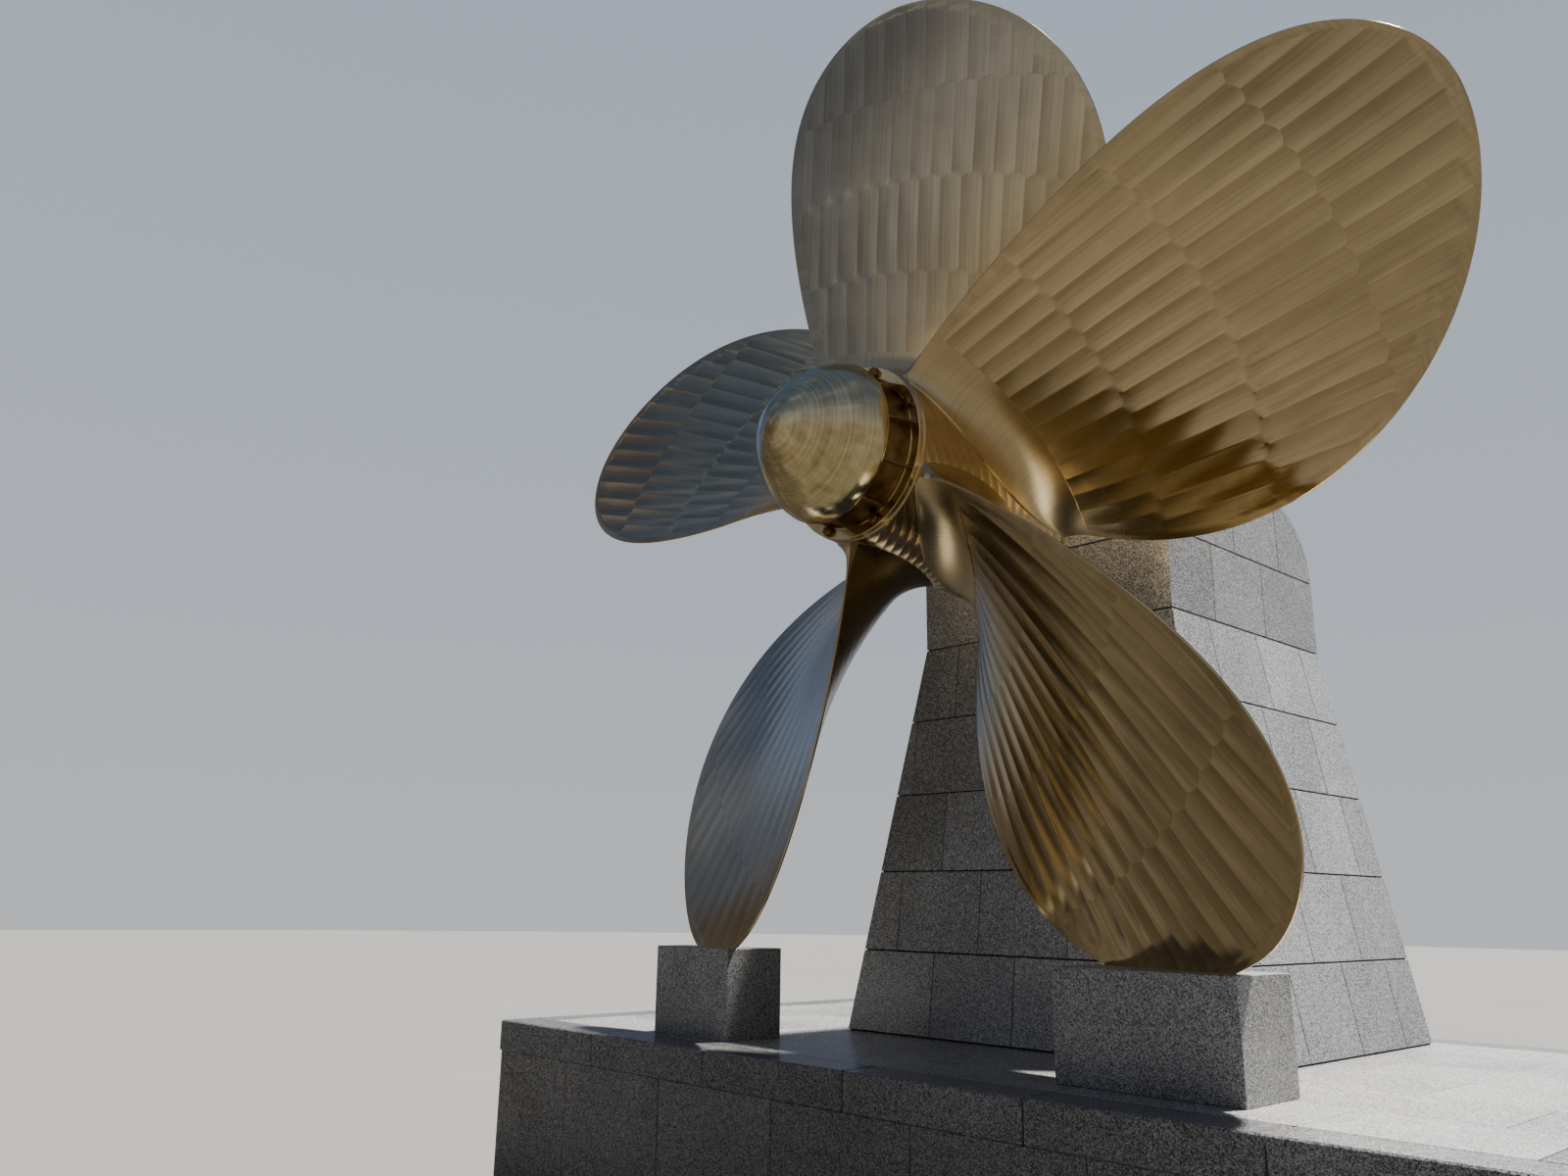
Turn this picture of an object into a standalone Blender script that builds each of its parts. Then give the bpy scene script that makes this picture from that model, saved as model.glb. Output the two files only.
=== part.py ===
"""Ship propeller set up as a monument: a five-bladed bronze casting with its boss cap, carried by a stub
shaft in a tapered granite pedestal, with two blade tips let into granite blocks on a granite podium.

Units are metres, +Z is up. The origin is on the ground, under the middle of the podium. The propeller's
axis runs along Y through X = 0, and its cap points to -Y. Blade angles are clockwise from straight up,
as someone facing the cap sees them.
"""

import math

import bmesh
import bpy
from mathutils import Matrix, Vector

CONTACT = 0.0003  # joint left between two pieces that touch

# Podium: concrete core, granite facing, coping stones round the edge and paving inside them
PODIUM_WIDTH = 5.70
PODIUM_DEPTH = 3.72
PODIUM_HEIGHT = 0.90
COPING_WIDTH = 0.23
COPING_HEIGHT = 0.17
COPING_OVERHANG = 0.010
FACING_THICKNESS = 0.050
PAVING_THICKNESS = 0.050

# Pedestal: equal courses, tapered up to a kink and plumb above; the shaft meets the top one's middle
COURSE_COUNT = 7
TAPERED_COURSES = 5
PEDESTAL_BASE_WIDTH = 2.43
PEDESTAL_TOP_WIDTH = 1.656
PEDESTAL_BASE_FRONT = -0.560
PEDESTAL_TOP_FRONT = -0.262
PEDESTAL_BASE_BACK = 1.514
PEDESTAL_TOP_BACK = 1.446
BACK_ROUNDING = 0.440
BACK_ROUNDING_STEPS = 10

# Blocks that hold the two lower blades; each one's middle lies off its blade's lowest point by a shift
BLOCK_HEIGHT = 0.460
BLADE_SINK = 0.0565  # how far the blades reach down into the blocks
RIGHT_BLOCK_WIDTH = 0.820
RIGHT_BLOCK_DEPTH = 0.430
RIGHT_BLOCK_SHIFT = (0.017, -0.043)
LEFT_BLOCK_WIDTH = 0.608
LEFT_BLOCK_DEPTH = 0.380
LEFT_BLOCK_SHIFT = (-0.069, 0.085)
SLOT_SIDE_CLEARANCE = 0.0010

# Propeller: one casting, right-handed
BLADE_COUNT = 5
TIP_RADIUS = 2.900
BLADE_LINE_Y = -1.170  # where the blades' generating line meets the axis
HUB_AFT_Y = -1.757
HUB_AFT_RADIUS = 0.4455
HUB_FORWARD_Y = -0.6265
HUB_FORWARD_RADIUS = 0.560
HUB_EDGE = 0.008
ROOT_RADIUS = 0.510  # radius where the chord law starts
CHORD_LAW = (0.222, 0.530, 1.030, -1.131)  # shares of the diameter, by powers of the station
SKEW_LAW = (7.9, 8.3, -17.2)  # degrees, by powers of the radius share
RAKE_LAW = (0.016, 0.047)  # aft rake over tip radius, for the radius share and its square
PITCH_LAW = (0.955, 0.032, -0.066)  # pitch over diameter, by powers of the share past the reference
PITCH_REFERENCE = 0.7  # radius share
TIP_THICKNESS = 0.020
ROOT_THICKNESS = 0.260  # blade thickness extended to the axis
THICKNESS_POWER = 1.15
EDGE_THICKNESS = 0.012
SECTION_FULLNESS = 2.4
CAMBER_SHARE = 0.4
ROOT_FILLET = 0.190
FILLET_AT_EDGES = 0.25
BLADE_BEDDING = 0.065  # how deep the blade's first section lies in the hub
ROOT_STATIONS = 9
OUTER_STATIONS = 12
LAST_STATION = 0.97
CHORD_STEPS = 10
SEARCH_STEPS = 160  # stations and places looked at for a blade's lowest point
HUB_SEGMENTS = 60

# Boss cap: egg-shaped dome, a recessed waist crossed by ribs, and the bolted flange
CAP_DOME_LENGTH = 0.385
CAP_DOME_RADIUS = 0.400
CAP_DOME_FULLNESS = 1.6
CAP_DOME_STEPS = 12
CAP_WAIST_LENGTH = 0.165
CAP_WAIST_RADIUS = 0.372
CAP_FLANGE_LENGTH = 0.030
CAP_FLANGE_RADIUS = 0.441
CAP_LIP = 0.014
RIB_THICKNESS = 0.010
RIB_INNER_RADIUS = 0.344
RIB_RADIUS_AT_DOME = 0.398
RIB_RADIUS_AT_FLANGE = 0.4375
RIB_DEPTH_IN_DOME = 0.007
RIB_DEPTH_IN_FLANGE = 0.015
RIB_MIDDLE_ANGLE = 115.0
RIB_PITCH = 30.0
RIBS_EACH_WAY = 2
CAP_BOLT_CIRCLE = 0.407
CAP_BOLT_FLATS = 0.050
CAP_BOLT_HEIGHT = 0.026
CAP_BOLT_FIRST_ANGLE = 112.5
CAP_BOLT_PITCH = 45.0
CAP_BOLT_PLACES = (1, 2, 3, 5, 6, 7)  # ribs stand at places 0 and 4

# Stub shaft: from its bore in the hub to its socket in the top course
SHAFT_RADIUS = 0.190
SHAFT_IN_HUB = 0.700
SHAFT_IN_PEDESTAL = 0.600
SHAFT_SEGMENTS = 48
CUTTER_OVERRUN = 0.250  # how far a bore's cutter runs out past the face it opens

DIAMETER = 2 * TIP_RADIUS
BLADE_STEP = 360.0 / BLADE_COUNT
RIGHT_LOWER_BLADE = 2
LEFT_LOWER_BLADE = 3


def clear_scene():
    for obj in list(bpy.data.objects):
        bpy.data.objects.remove(obj)


def make_collection(name):
    collection = bpy.data.collections.new(name)
    bpy.context.scene.collection.children.link(collection)
    return collection


def make_material(name, colour, roughness, metallic):
    material = bpy.data.materials.new(name)
    material.use_nodes = True
    shader = material.node_tree.nodes["Principled BSDF"]
    shader.inputs["Base Color"].default_value = (*colour, 1.0)
    shader.inputs["Roughness"].default_value = roughness
    shader.inputs["Metallic"].default_value = metallic
    return material


def add_object(name, mesh, material, collection):
    obj = bpy.data.objects.new(name, mesh)
    mesh.materials.append(material)
    collection.objects.link(obj)
    return obj


def mesh_from(name, shape):
    mesh = bpy.data.meshes.new(name)
    bmesh.ops.recalc_face_normals(shape, faces=shape.faces)
    shape.to_mesh(mesh)
    shape.free()
    return mesh


def tapered_box(bottom, top, z_low, z_high):
    """A cube with its corners moved: bottom and top are (x low, x high, y low, y high)."""
    shape = bmesh.new()
    bmesh.ops.create_cube(shape, size=2.0)
    for vertex in shape.verts:
        outline = top if vertex.co.z > 0 else bottom
        x = outline[1] if vertex.co.x > 0 else outline[0]
        y = outline[3] if vertex.co.y > 0 else outline[2]
        vertex.co = (x, y, z_high if vertex.co.z > 0 else z_low)
    return shape


def add_box(name, outline, z_low, z_high, material):
    shape = tapered_box(outline, outline, z_low, z_high)
    return add_object(name, mesh_from(name, shape), material, parts)


def add_boolean(obj, other, operation):
    modifier = obj.modifiers.new(f"{operation.lower()}_{other.name}", "BOOLEAN")
    modifier.operation = operation
    modifier.object = other


def as_helper(obj):
    obj.hide_render = True
    obj.display_type = "WIRE"
    return obj


def add_turned(name, profile, segments, material, collection):
    """A profile of (radius, distance aft of the hub's aft face), turned about the propeller's axis."""
    shape = bmesh.new()
    points = [shape.verts.new((radius, 0.0, aft)) for radius, aft in profile]
    for start, end in zip(points, points[1:]):
        shape.edges.new((start, end))
    mesh = bpy.data.meshes.new(name)
    shape.to_mesh(mesh)
    shape.free()
    obj = add_object(name, mesh, material, collection)
    obj.location = AXIS + Vector((0.0, HUB_AFT_Y, 0.0))
    obj.rotation_euler = (math.radians(90.0), 0.0, 0.0)
    screw = obj.modifiers.new("turn", "SCREW")
    screw.steps = segments
    screw.render_steps = segments
    screw.use_merge_vertices = True
    screw.merge_threshold = 0.00001
    return obj


def around_axis(radius, angle, y):
    """A point at this radius and clockwise angle, in degrees, round the axis. Its Z is from the axis."""
    turn = math.radians(angle)
    return Vector((radius * math.sin(turn), y, radius * math.cos(turn)))


def hub_radius(y):
    share = (y - HUB_AFT_Y) / (HUB_FORWARD_Y - HUB_AFT_Y)
    return HUB_AFT_RADIUS + (HUB_FORWARD_RADIUS - HUB_AFT_RADIUS) * share


def blade_section(radius):
    """Chord, skew in radians, aft rake, pitch angle and thickness of the blade at this radius."""
    share = radius / TIP_RADIUS
    spread = (radius - ROOT_RADIUS) / (TIP_RADIUS - ROOT_RADIUS)
    station = math.asin(min(1.0, max(0.0, spread))) * 2.0 / math.pi
    law = sum(factor * station**power for power, factor in enumerate(CHORD_LAW))
    chord = DIAMETER * (1.0 - station) * law
    skew = math.radians(sum(factor * share**power for power, factor in enumerate(SKEW_LAW)))
    rake = TIP_RADIUS * (RAKE_LAW[0] * share + RAKE_LAW[1] * share**2)
    offset = share - PITCH_REFERENCE
    pitch = DIAMETER * sum(factor * offset**power for power, factor in enumerate(PITCH_LAW))
    pitch_angle = math.atan2(pitch, 2.0 * math.pi * radius)
    thickness = TIP_THICKNESS + (ROOT_THICKNESS - TIP_THICKNESS) * max(0.0, 1.0 - share) ** THICKNESS_POWER
    return chord, skew, rake, pitch_angle, thickness


def blade_point(radius, place, side, angle, grow):
    """A point of a blade's skin. place runs from -1 at the trailing edge to 1 at the leading edge, side is
    1 on the pressure face and -1 on the suction back, and grow is (extra chord, extra thickness)."""
    chord, skew, rake, pitch_angle, thickness = blade_section(radius)
    along = place * (chord / 2.0 + grow[0])
    bulge = 1.0 - abs(place) ** SECTION_FULLNESS
    half = (EDGE_THICKNESS + (thickness - EDGE_THICKNESS) * bulge) / 2.0
    y = BLADE_LINE_Y - rake + along * math.sin(pitch_angle)
    above_hub = min(1.0, max(0.0, (radius - hub_radius(y)) / ROOT_FILLET))
    fillet = ROOT_FILLET * (1.0 - math.sqrt(1.0 - (1.0 - above_hub) ** 2))
    half += fillet * (FILLET_AT_EDGES + (1.0 - FILLET_AT_EDGES) * (1.0 - place**2))
    camber = CAMBER_SHARE * thickness * (1.0 - place**2)
    out = side * (half + grow[1]) - camber
    around = along * math.cos(pitch_angle) + out * math.sin(pitch_angle)
    y -= out * math.cos(pitch_angle)
    y = min(HUB_FORWARD_Y - HUB_EDGE, max(HUB_AFT_Y + HUB_EDGE, y))
    return around_axis(radius, angle + math.degrees(skew + around / radius), y)


def outer_radii(steps):
    """Stations from the end of the root fillet that close up towards the tip."""
    fillet_end = HUB_FORWARD_RADIUS + ROOT_FILLET
    start = math.asin((fillet_end - ROOT_RADIUS) / (TIP_RADIUS - ROOT_RADIUS)) * 2.0 / math.pi
    stations = [start + (LAST_STATION - start) * step / steps for step in range(steps + 1)]
    span = TIP_RADIUS - ROOT_RADIUS
    return [ROOT_RADIUS + span * math.sin(station * math.pi / 2.0) for station in stations]


def blade_radii():
    """Even stations through the root fillet, then the outer ones."""
    inner_radius = HUB_AFT_RADIUS - BLADE_BEDDING
    reach = HUB_FORWARD_RADIUS + ROOT_FILLET - inner_radius
    inner = [inner_radius + reach * step / ROOT_STATIONS for step in range(ROOT_STATIONS)]
    return inner + outer_radii(OUTER_STATIONS)


def chord_places(steps):
    """Places from the trailing edge, -1, to the leading edge, 1, closer together at the edges."""
    return [math.sin(math.pi * (step / steps - 0.5)) for step in range(steps + 1)]


def lowest_point(blade_number):
    """The lowest point of a blade's middle surface, with Z from the axis."""
    angle = blade_number * BLADE_STEP
    places = chord_places(SEARCH_STEPS)
    stations = outer_radii(SEARCH_STEPS)
    points = [blade_point(radius, place, 0, angle, (0.0, 0.0)) for radius in stations for place in places]
    return min(points, key=lambda point: point.z)


def add_blade(name, angle, grow, material, collection):
    """A blade lofted through its sections, closed by its inner and its tip section."""
    places = chord_places(CHORD_STEPS)
    outline = [(place, 1) for place in places] + [(place, -1) for place in reversed(places)]
    shape = bmesh.new()
    rings = []
    for radius in blade_radii():
        outward = 1.0 + grow[0] / radius
        stretch = Vector((outward, 1.0, outward))
        points = [blade_point(radius, place, side, angle, grow) * stretch for place, side in outline]
        rings.append([shape.verts.new(point + AXIS) for point in points])
    for inner, outer in zip(rings, rings[1:]):
        for index in range(len(inner)):
            after = (index + 1) % len(inner)
            shape.faces.new((inner[index], inner[after], outer[after], outer[index]))
    shape.faces.new(rings[0])
    shape.faces.new(rings[-1])
    return add_object(name, mesh_from(name, shape), material, collection)


def build_podium():
    half_width = PODIUM_WIDTH / 2.0
    half_depth = PODIUM_DEPTH / 2.0
    wall_x = half_width - COPING_OVERHANG
    wall_y = half_depth - COPING_OVERHANG
    core_x = wall_x - FACING_THICKNESS - CONTACT
    core_y = wall_y - FACING_THICKNESS - CONTACT
    coping_low = PODIUM_HEIGHT - COPING_HEIGHT
    inner_x = half_width - COPING_WIDTH
    inner_y = half_depth - COPING_WIDTH
    paving_low = PODIUM_HEIGHT - PAVING_THICKNESS
    add_box("podium_core", (-core_x, core_x, -core_y, core_y), 0.0, coping_low - CONTACT, concrete)
    bed = (-inner_x + CONTACT, inner_x - CONTACT, -inner_y + CONTACT, inner_y - CONTACT)
    add_box("paving_bed", bed, coping_low, paving_low - CONTACT, concrete)
    add_box("podium_paving", bed, paving_low, PODIUM_HEIGHT, granite)
    facing_top = coping_low - CONTACT
    add_box("podium_front_facing", (-wall_x, wall_x, -wall_y, -core_y - CONTACT), 0.0, facing_top, granite)
    add_box("podium_back_facing", (-wall_x, wall_x, core_y + CONTACT, wall_y), 0.0, facing_top, granite)
    add_box("podium_left_facing", (-wall_x, -core_x - CONTACT, -core_y, core_y), 0.0, facing_top, granite)
    add_box("podium_right_facing", (core_x + CONTACT, wall_x, -core_y, core_y), 0.0, facing_top, granite)
    front = (-half_width, half_width, -half_depth, -inner_y)
    back = (-half_width, half_width, inner_y, half_depth)
    left = (-half_width, -inner_x, -inner_y + CONTACT, inner_y - CONTACT)
    right = (inner_x, half_width, -inner_y + CONTACT, inner_y - CONTACT)
    for name, outline in (("front", front), ("back", back), ("left", left), ("right", right)):
        add_box(f"podium_{name}_coping", outline, coping_low, PODIUM_HEIGHT, granite)


def pedestal_outline(height):
    """(x low, x high, y low, y high) of the pedestal at this height above the podium."""
    share = min(1.0, height / (TAPERED_COURSES * COURSE_HEIGHT))
    half = (PEDESTAL_BASE_WIDTH + (PEDESTAL_TOP_WIDTH - PEDESTAL_BASE_WIDTH) * share) / 2.0
    front = PEDESTAL_BASE_FRONT + (PEDESTAL_TOP_FRONT - PEDESTAL_BASE_FRONT) * share
    back = PEDESTAL_BASE_BACK + (PEDESTAL_TOP_BACK - PEDESTAL_BASE_BACK) * share
    return (-half, half, front, back)


def build_pedestal():
    courses = []
    for number in range(COURSE_COUNT):
        low = number * COURSE_HEIGHT + CONTACT
        high = (number + 1) * COURSE_HEIGHT
        shape = tapered_box(
            pedestal_outline(low), pedestal_outline(high), PODIUM_HEIGHT + low, PODIUM_HEIGHT + high
        )
        if number == COURSE_COUNT - 1:
            round_back_edge(shape)
        name = f"pedestal_course_{number + 1}"
        courses.append(add_object(name, mesh_from(name, shape), granite, parts))
    return courses


def round_back_edge(shape):
    """Rounds the upper back edge of the top course to a quarter circle."""
    top = max(vertex.co.z for vertex in shape.verts)
    back = max(vertex.co.y for vertex in shape.verts)
    corners = {v for v in shape.verts if v.co.z > top - CONTACT and v.co.y > back - CONTACT}
    edges = [edge for edge in shape.edges if corners.issuperset(edge.verts)]
    bmesh.ops.bevel(
        shape, geom=edges, offset=BACK_ROUNDING, segments=BACK_ROUNDING_STEPS, profile=0.5, affect="EDGES"
    )


def build_blocks():
    """The two blocks, each with a slot that a lower blade's edge is let into."""
    grow = (CONTACT, SLOT_SIDE_CLEARANCE)
    right = (RIGHT_LOWER_BLADE, RIGHT_BLOCK_WIDTH, RIGHT_BLOCK_DEPTH, RIGHT_BLOCK_SHIFT)
    left = (LEFT_LOWER_BLADE, LEFT_BLOCK_WIDTH, LEFT_BLOCK_DEPTH, LEFT_BLOCK_SHIFT)
    for name, (blade_number, width, depth, shift) in (("right", right), ("left", left)):
        tip = lowest_point(blade_number)
        x = tip.x + shift[0]
        y = tip.y + shift[1]
        outline = (x - width / 2.0, x + width / 2.0, y - depth / 2.0, y + depth / 2.0)
        z_low = PODIUM_HEIGHT + CONTACT
        obj = add_box(f"blade_block_{name}", outline, z_low, PODIUM_HEIGHT + BLOCK_HEIGHT, granite)
        slot = add_blade(f"slot_{name}", blade_number * BLADE_STEP, grow, granite, cutters)
        add_boolean(obj, as_helper(slot), "DIFFERENCE")


def build_casting():
    """Hub and blades as one casting, with the shaft's blind bore in its forward end."""
    length = HUB_FORWARD_Y - HUB_AFT_Y
    profile = [
        (0.0, 0.0),
        (HUB_AFT_RADIUS - HUB_EDGE, 0.0),
        (HUB_AFT_RADIUS, -HUB_EDGE),
        (HUB_FORWARD_RADIUS, -length + HUB_EDGE),
        (HUB_FORWARD_RADIUS - HUB_EDGE, -length),
        (0.0, -length),
    ]
    casting = add_turned("propeller_casting", profile, HUB_SEGMENTS, bronze, parts)
    for number in range(BLADE_COUNT):
        blade = add_blade(f"blade_{number + 1}", number * BLADE_STEP, (0.0, 0.0), bronze, cutters)
        add_boolean(casting, as_helper(blade), "UNION")
    bore_end = HUB_FORWARD_Y - SHAFT_IN_HUB - CONTACT
    bore_mouth = HUB_FORWARD_Y + CUTTER_OVERRUN
    bore = add_cylinder("shaft_bore", SHAFT_RADIUS + CONTACT, bore_end, bore_mouth, cutters)
    add_boolean(casting, as_helper(bore), "DIFFERENCE")


def add_cylinder(name, radius, y_low, y_high, collection):
    """A cylinder on the propeller's axis."""
    middle = AXIS + Vector((0.0, (y_low + y_high) / 2.0, 0.0))
    shape = bmesh.new()
    bmesh.ops.create_cone(
        shape,
        cap_ends=True,
        segments=SHAFT_SEGMENTS,
        radius1=radius,
        radius2=radius,
        depth=y_high - y_low,
        matrix=Matrix.Translation(middle) @ Matrix.Rotation(math.radians(90.0), 4, "X"),
    )
    return add_object(name, mesh_from(name, shape), steel, collection)


def build_shaft(top_course):
    back_end = PEDESTAL_TOP_FRONT + SHAFT_IN_PEDESTAL
    add_cylinder("stub_shaft", SHAFT_RADIUS, HUB_FORWARD_Y - SHAFT_IN_HUB, back_end, parts)
    socket_front = PEDESTAL_TOP_FRONT - CUTTER_OVERRUN
    socket = add_cylinder("shaft_socket", SHAFT_RADIUS + CONTACT, socket_front, back_end + CONTACT, cutters)
    add_boolean(top_course, as_helper(socket), "DIFFERENCE")


def build_cap():
    """The cap casting: a turned body joined to the thin ribs that cross its waist."""
    flange_face = CAP_FLANGE_LENGTH
    dome_edge = CAP_FLANGE_LENGTH + CAP_WAIST_LENGTH
    profile = [(0.0, dome_edge + CAP_DOME_LENGTH)]
    for step in range(1, CAP_DOME_STEPS):
        turn = math.pi / 2.0 * step / CAP_DOME_STEPS
        ahead = math.cos(turn) ** (2.0 / CAP_DOME_FULLNESS)
        radius = CAP_DOME_RADIUS * (1.0 - ahead**CAP_DOME_FULLNESS) ** (1.0 / CAP_DOME_FULLNESS)
        profile.append((radius, dome_edge + CAP_DOME_LENGTH * ahead))
    profile += [
        (CAP_DOME_RADIUS, dome_edge + CAP_LIP),
        (CAP_DOME_RADIUS, dome_edge),
        (CAP_WAIST_RADIUS, dome_edge),
        (CAP_WAIST_RADIUS, flange_face),
        (CAP_FLANGE_RADIUS, flange_face),
        (CAP_FLANGE_RADIUS, CONTACT),
        (0.0, CONTACT),
    ]
    cap = add_turned("boss_cap", profile, HUB_SEGMENTS, bronze, parts)
    ribs = bmesh.new()
    for opposite in (0.0, 180.0):
        for place in range(-RIBS_EACH_WAY, RIBS_EACH_WAY + 1):
            add_rib(ribs, RIB_MIDDLE_ANGLE + opposite + place * RIB_PITCH)
    rib_object = add_object("cap_ribs", mesh_from("cap_ribs", ribs), bronze, cutters)
    add_boolean(cap, as_helper(rib_object), "UNION")


def add_rib(shape, angle):
    """A thin web whose outer edge runs straight from the dome's edge to the flange's."""
    dome_y = HUB_AFT_Y - CAP_FLANGE_LENGTH - CAP_WAIST_LENGTH - RIB_DEPTH_IN_DOME
    flange_y = HUB_AFT_Y - CAP_FLANGE_LENGTH + RIB_DEPTH_IN_FLANGE
    turn = Matrix.Translation(AXIS) @ Matrix.Rotation(math.radians(angle), 4, "Y")
    made = bmesh.ops.create_cube(shape, size=2.0)
    for vertex in made["verts"]:
        at_flange = vertex.co.y > 0
        outer = RIB_RADIUS_AT_FLANGE if at_flange else RIB_RADIUS_AT_DOME
        z = outer if vertex.co.z > 0 else RIB_INNER_RADIUS
        x = RIB_THICKNESS / 2.0 * vertex.co.x
        vertex.co = turn @ Vector((x, flange_y if at_flange else dome_y, z))


def build_cap_bolts():
    radius = CAP_BOLT_FLATS / math.sqrt(3.0)
    seat_y = HUB_AFT_Y - CAP_FLANGE_LENGTH - CONTACT
    for number, place in enumerate(CAP_BOLT_PLACES):
        angle = CAP_BOLT_FIRST_ANGLE + place * CAP_BOLT_PITCH
        middle = AXIS + around_axis(CAP_BOLT_CIRCLE, angle, seat_y - CAP_BOLT_HEIGHT / 2.0)
        turn = Matrix.Rotation(math.radians(angle), 4, "Y") @ Matrix.Rotation(math.radians(90.0), 4, "X")
        shape = bmesh.new()
        bmesh.ops.create_cone(
            shape,
            cap_ends=True,
            segments=6,
            radius1=radius,
            radius2=radius,
            depth=CAP_BOLT_HEIGHT,
            matrix=Matrix.Translation(middle) @ turn,
        )
        name = f"cap_bolt_{number + 1}"
        add_object(name, mesh_from(name, shape), bronze, parts)


clear_scene()
axis_above_podium = BLOCK_HEIGHT - BLADE_SINK - lowest_point(RIGHT_LOWER_BLADE).z
AXIS = Vector((0.0, 0.0, PODIUM_HEIGHT + axis_above_podium))
COURSE_HEIGHT = axis_above_podium / (COURSE_COUNT - 0.5)
parts = make_collection("ship_propeller_monument")
cutters = make_collection("cutters")
bronze = make_material("bronze", (0.60, 0.44, 0.22), 0.28, 1.0)
granite = make_material("granite", (0.20, 0.20, 0.21), 0.35, 0.0)
concrete = make_material("concrete", (0.42, 0.41, 0.39), 0.85, 0.0)
steel = make_material("steel", (0.35, 0.34, 0.32), 0.45, 1.0)
build_podium()
pedestal_courses = build_pedestal()
build_blocks()
build_casting()
build_shaft(pedestal_courses[-1])
build_cap()
build_cap_bolts()
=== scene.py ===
import math
import random
from collections import namedtuple

import bmesh
import bpy
from mathutils import Matrix, Vector


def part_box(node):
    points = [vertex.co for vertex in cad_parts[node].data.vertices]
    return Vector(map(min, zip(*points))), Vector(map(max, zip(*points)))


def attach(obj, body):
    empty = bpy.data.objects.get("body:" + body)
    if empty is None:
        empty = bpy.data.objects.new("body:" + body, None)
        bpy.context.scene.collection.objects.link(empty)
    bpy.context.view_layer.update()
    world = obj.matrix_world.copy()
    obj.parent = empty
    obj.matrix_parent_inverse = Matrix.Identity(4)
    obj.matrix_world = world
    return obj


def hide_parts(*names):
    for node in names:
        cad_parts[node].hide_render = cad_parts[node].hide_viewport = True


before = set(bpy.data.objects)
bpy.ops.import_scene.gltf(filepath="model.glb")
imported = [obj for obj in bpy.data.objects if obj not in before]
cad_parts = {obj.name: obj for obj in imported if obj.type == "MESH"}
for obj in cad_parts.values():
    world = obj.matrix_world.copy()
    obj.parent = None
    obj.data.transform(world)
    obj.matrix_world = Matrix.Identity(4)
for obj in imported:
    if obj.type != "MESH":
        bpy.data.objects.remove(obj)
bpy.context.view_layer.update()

# The studio's camera: at a visitor's eye height, in front of the podium and to the right of the cap, tilted
# up a little, as someone stands who looks at the propeller from close by.
EYE = (3.927, -5.877, 1.600)
EYE_YAW = -47.163
EYE_PITCH = 14.570
EYE_ROLL = 0.789
LENS = 27.82
FILM_WIDTH = 36.0


def let_go():
    """Deselects everything, so that the next operator acts on its own piece alone."""
    for other in bpy.context.selected_objects:
        other.select_set(False)


let_go()
bpy.ops.object.camera_add(location=EYE)
eye = bpy.context.object
eye.name = "visitor_eye"
eye.data.lens = LENS
eye.data.sensor_width = FILM_WIDTH
yaw = Matrix.Rotation(math.radians(-EYE_YAW), 4, "Z")
pitch = Matrix.Rotation(math.radians(90.0 + EYE_PITCH), 4, "X")
roll = Matrix.Rotation(math.radians(EYE_ROLL), 4, "Z")
eye.matrix_world = Matrix.Translation(EYE) @ yaw @ pitch @ roll
bpy.context.scene.camera = eye

# The studio's floor: a wide round sheet of plain matt paper, laid level under the podium. It is kept out of
# the bronze's reflections.
FLOOR_RADIUS = 60.0
FLOOR_SIDES = 96
DARKER_PAPER = (0.195, 0.193, 0.188)
PALER_PAPER = (0.215, 0.213, 0.208)


class Amount:
    """A value that varies over a surface. Arithmetic on it adds Math nodes to its finish."""

    def __init__(self, finish, socket):
        self.finish = finish
        self.socket = socket

    def worked(self, operation, first, second):
        return self.finish.node("ShaderNodeMath", {"operation": operation}, {0: first, 1: second})

    def __add__(self, other):
        return self.worked("ADD", self, other)

    def __radd__(self, other):
        return self.worked("ADD", other, self)

    def __sub__(self, other):
        return self.worked("SUBTRACT", self, other)

    def __rsub__(self, other):
        return self.worked("SUBTRACT", other, self)

    def __mul__(self, other):
        return self.worked("MULTIPLY", self, other)

    def __rmul__(self, other):
        return self.worked("MULTIPLY", other, self)


class Nodes:
    """The nodes of one finish or of the light all round."""

    def __init__(self, tree):
        self.tree = tree

    def feed(self, socket, value):
        if isinstance(value, Amount):
            self.tree.links.new(value.socket, socket)
        else:
            socket.default_value = value

    def node(self, kind, settings=None, sockets=None, output=0):
        """A node of this kind: its settings first, then the values or links of its sockets."""
        made = self.tree.nodes.new(kind)
        for name, value in (settings or {}).items():
            if name == "stops":
                stops = made.color_ramp.elements
                while len(stops) < len(value):
                    stops.new(1.0)
                for stop, (place, shade) in zip(stops, value):
                    stop.position = place
                    stop.color = (*shade, 1.0)
            else:
                setattr(made, name, value)
        for name, value in (sockets or {}).items():
            self.feed(made.inputs[name], value)
        return Amount(self, made.outputs[output])

    def mixed(self, share, first, second):
        """A colour between two colours, by this share of the second."""
        first, second = (shade if isinstance(shade, Amount) else (*shade, 1.0) for shade in (first, second))
        return self.node("ShaderNodeMix", {"data_type": "RGBA"}, {0: share, 6: first, 7: second}, 2)


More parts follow.
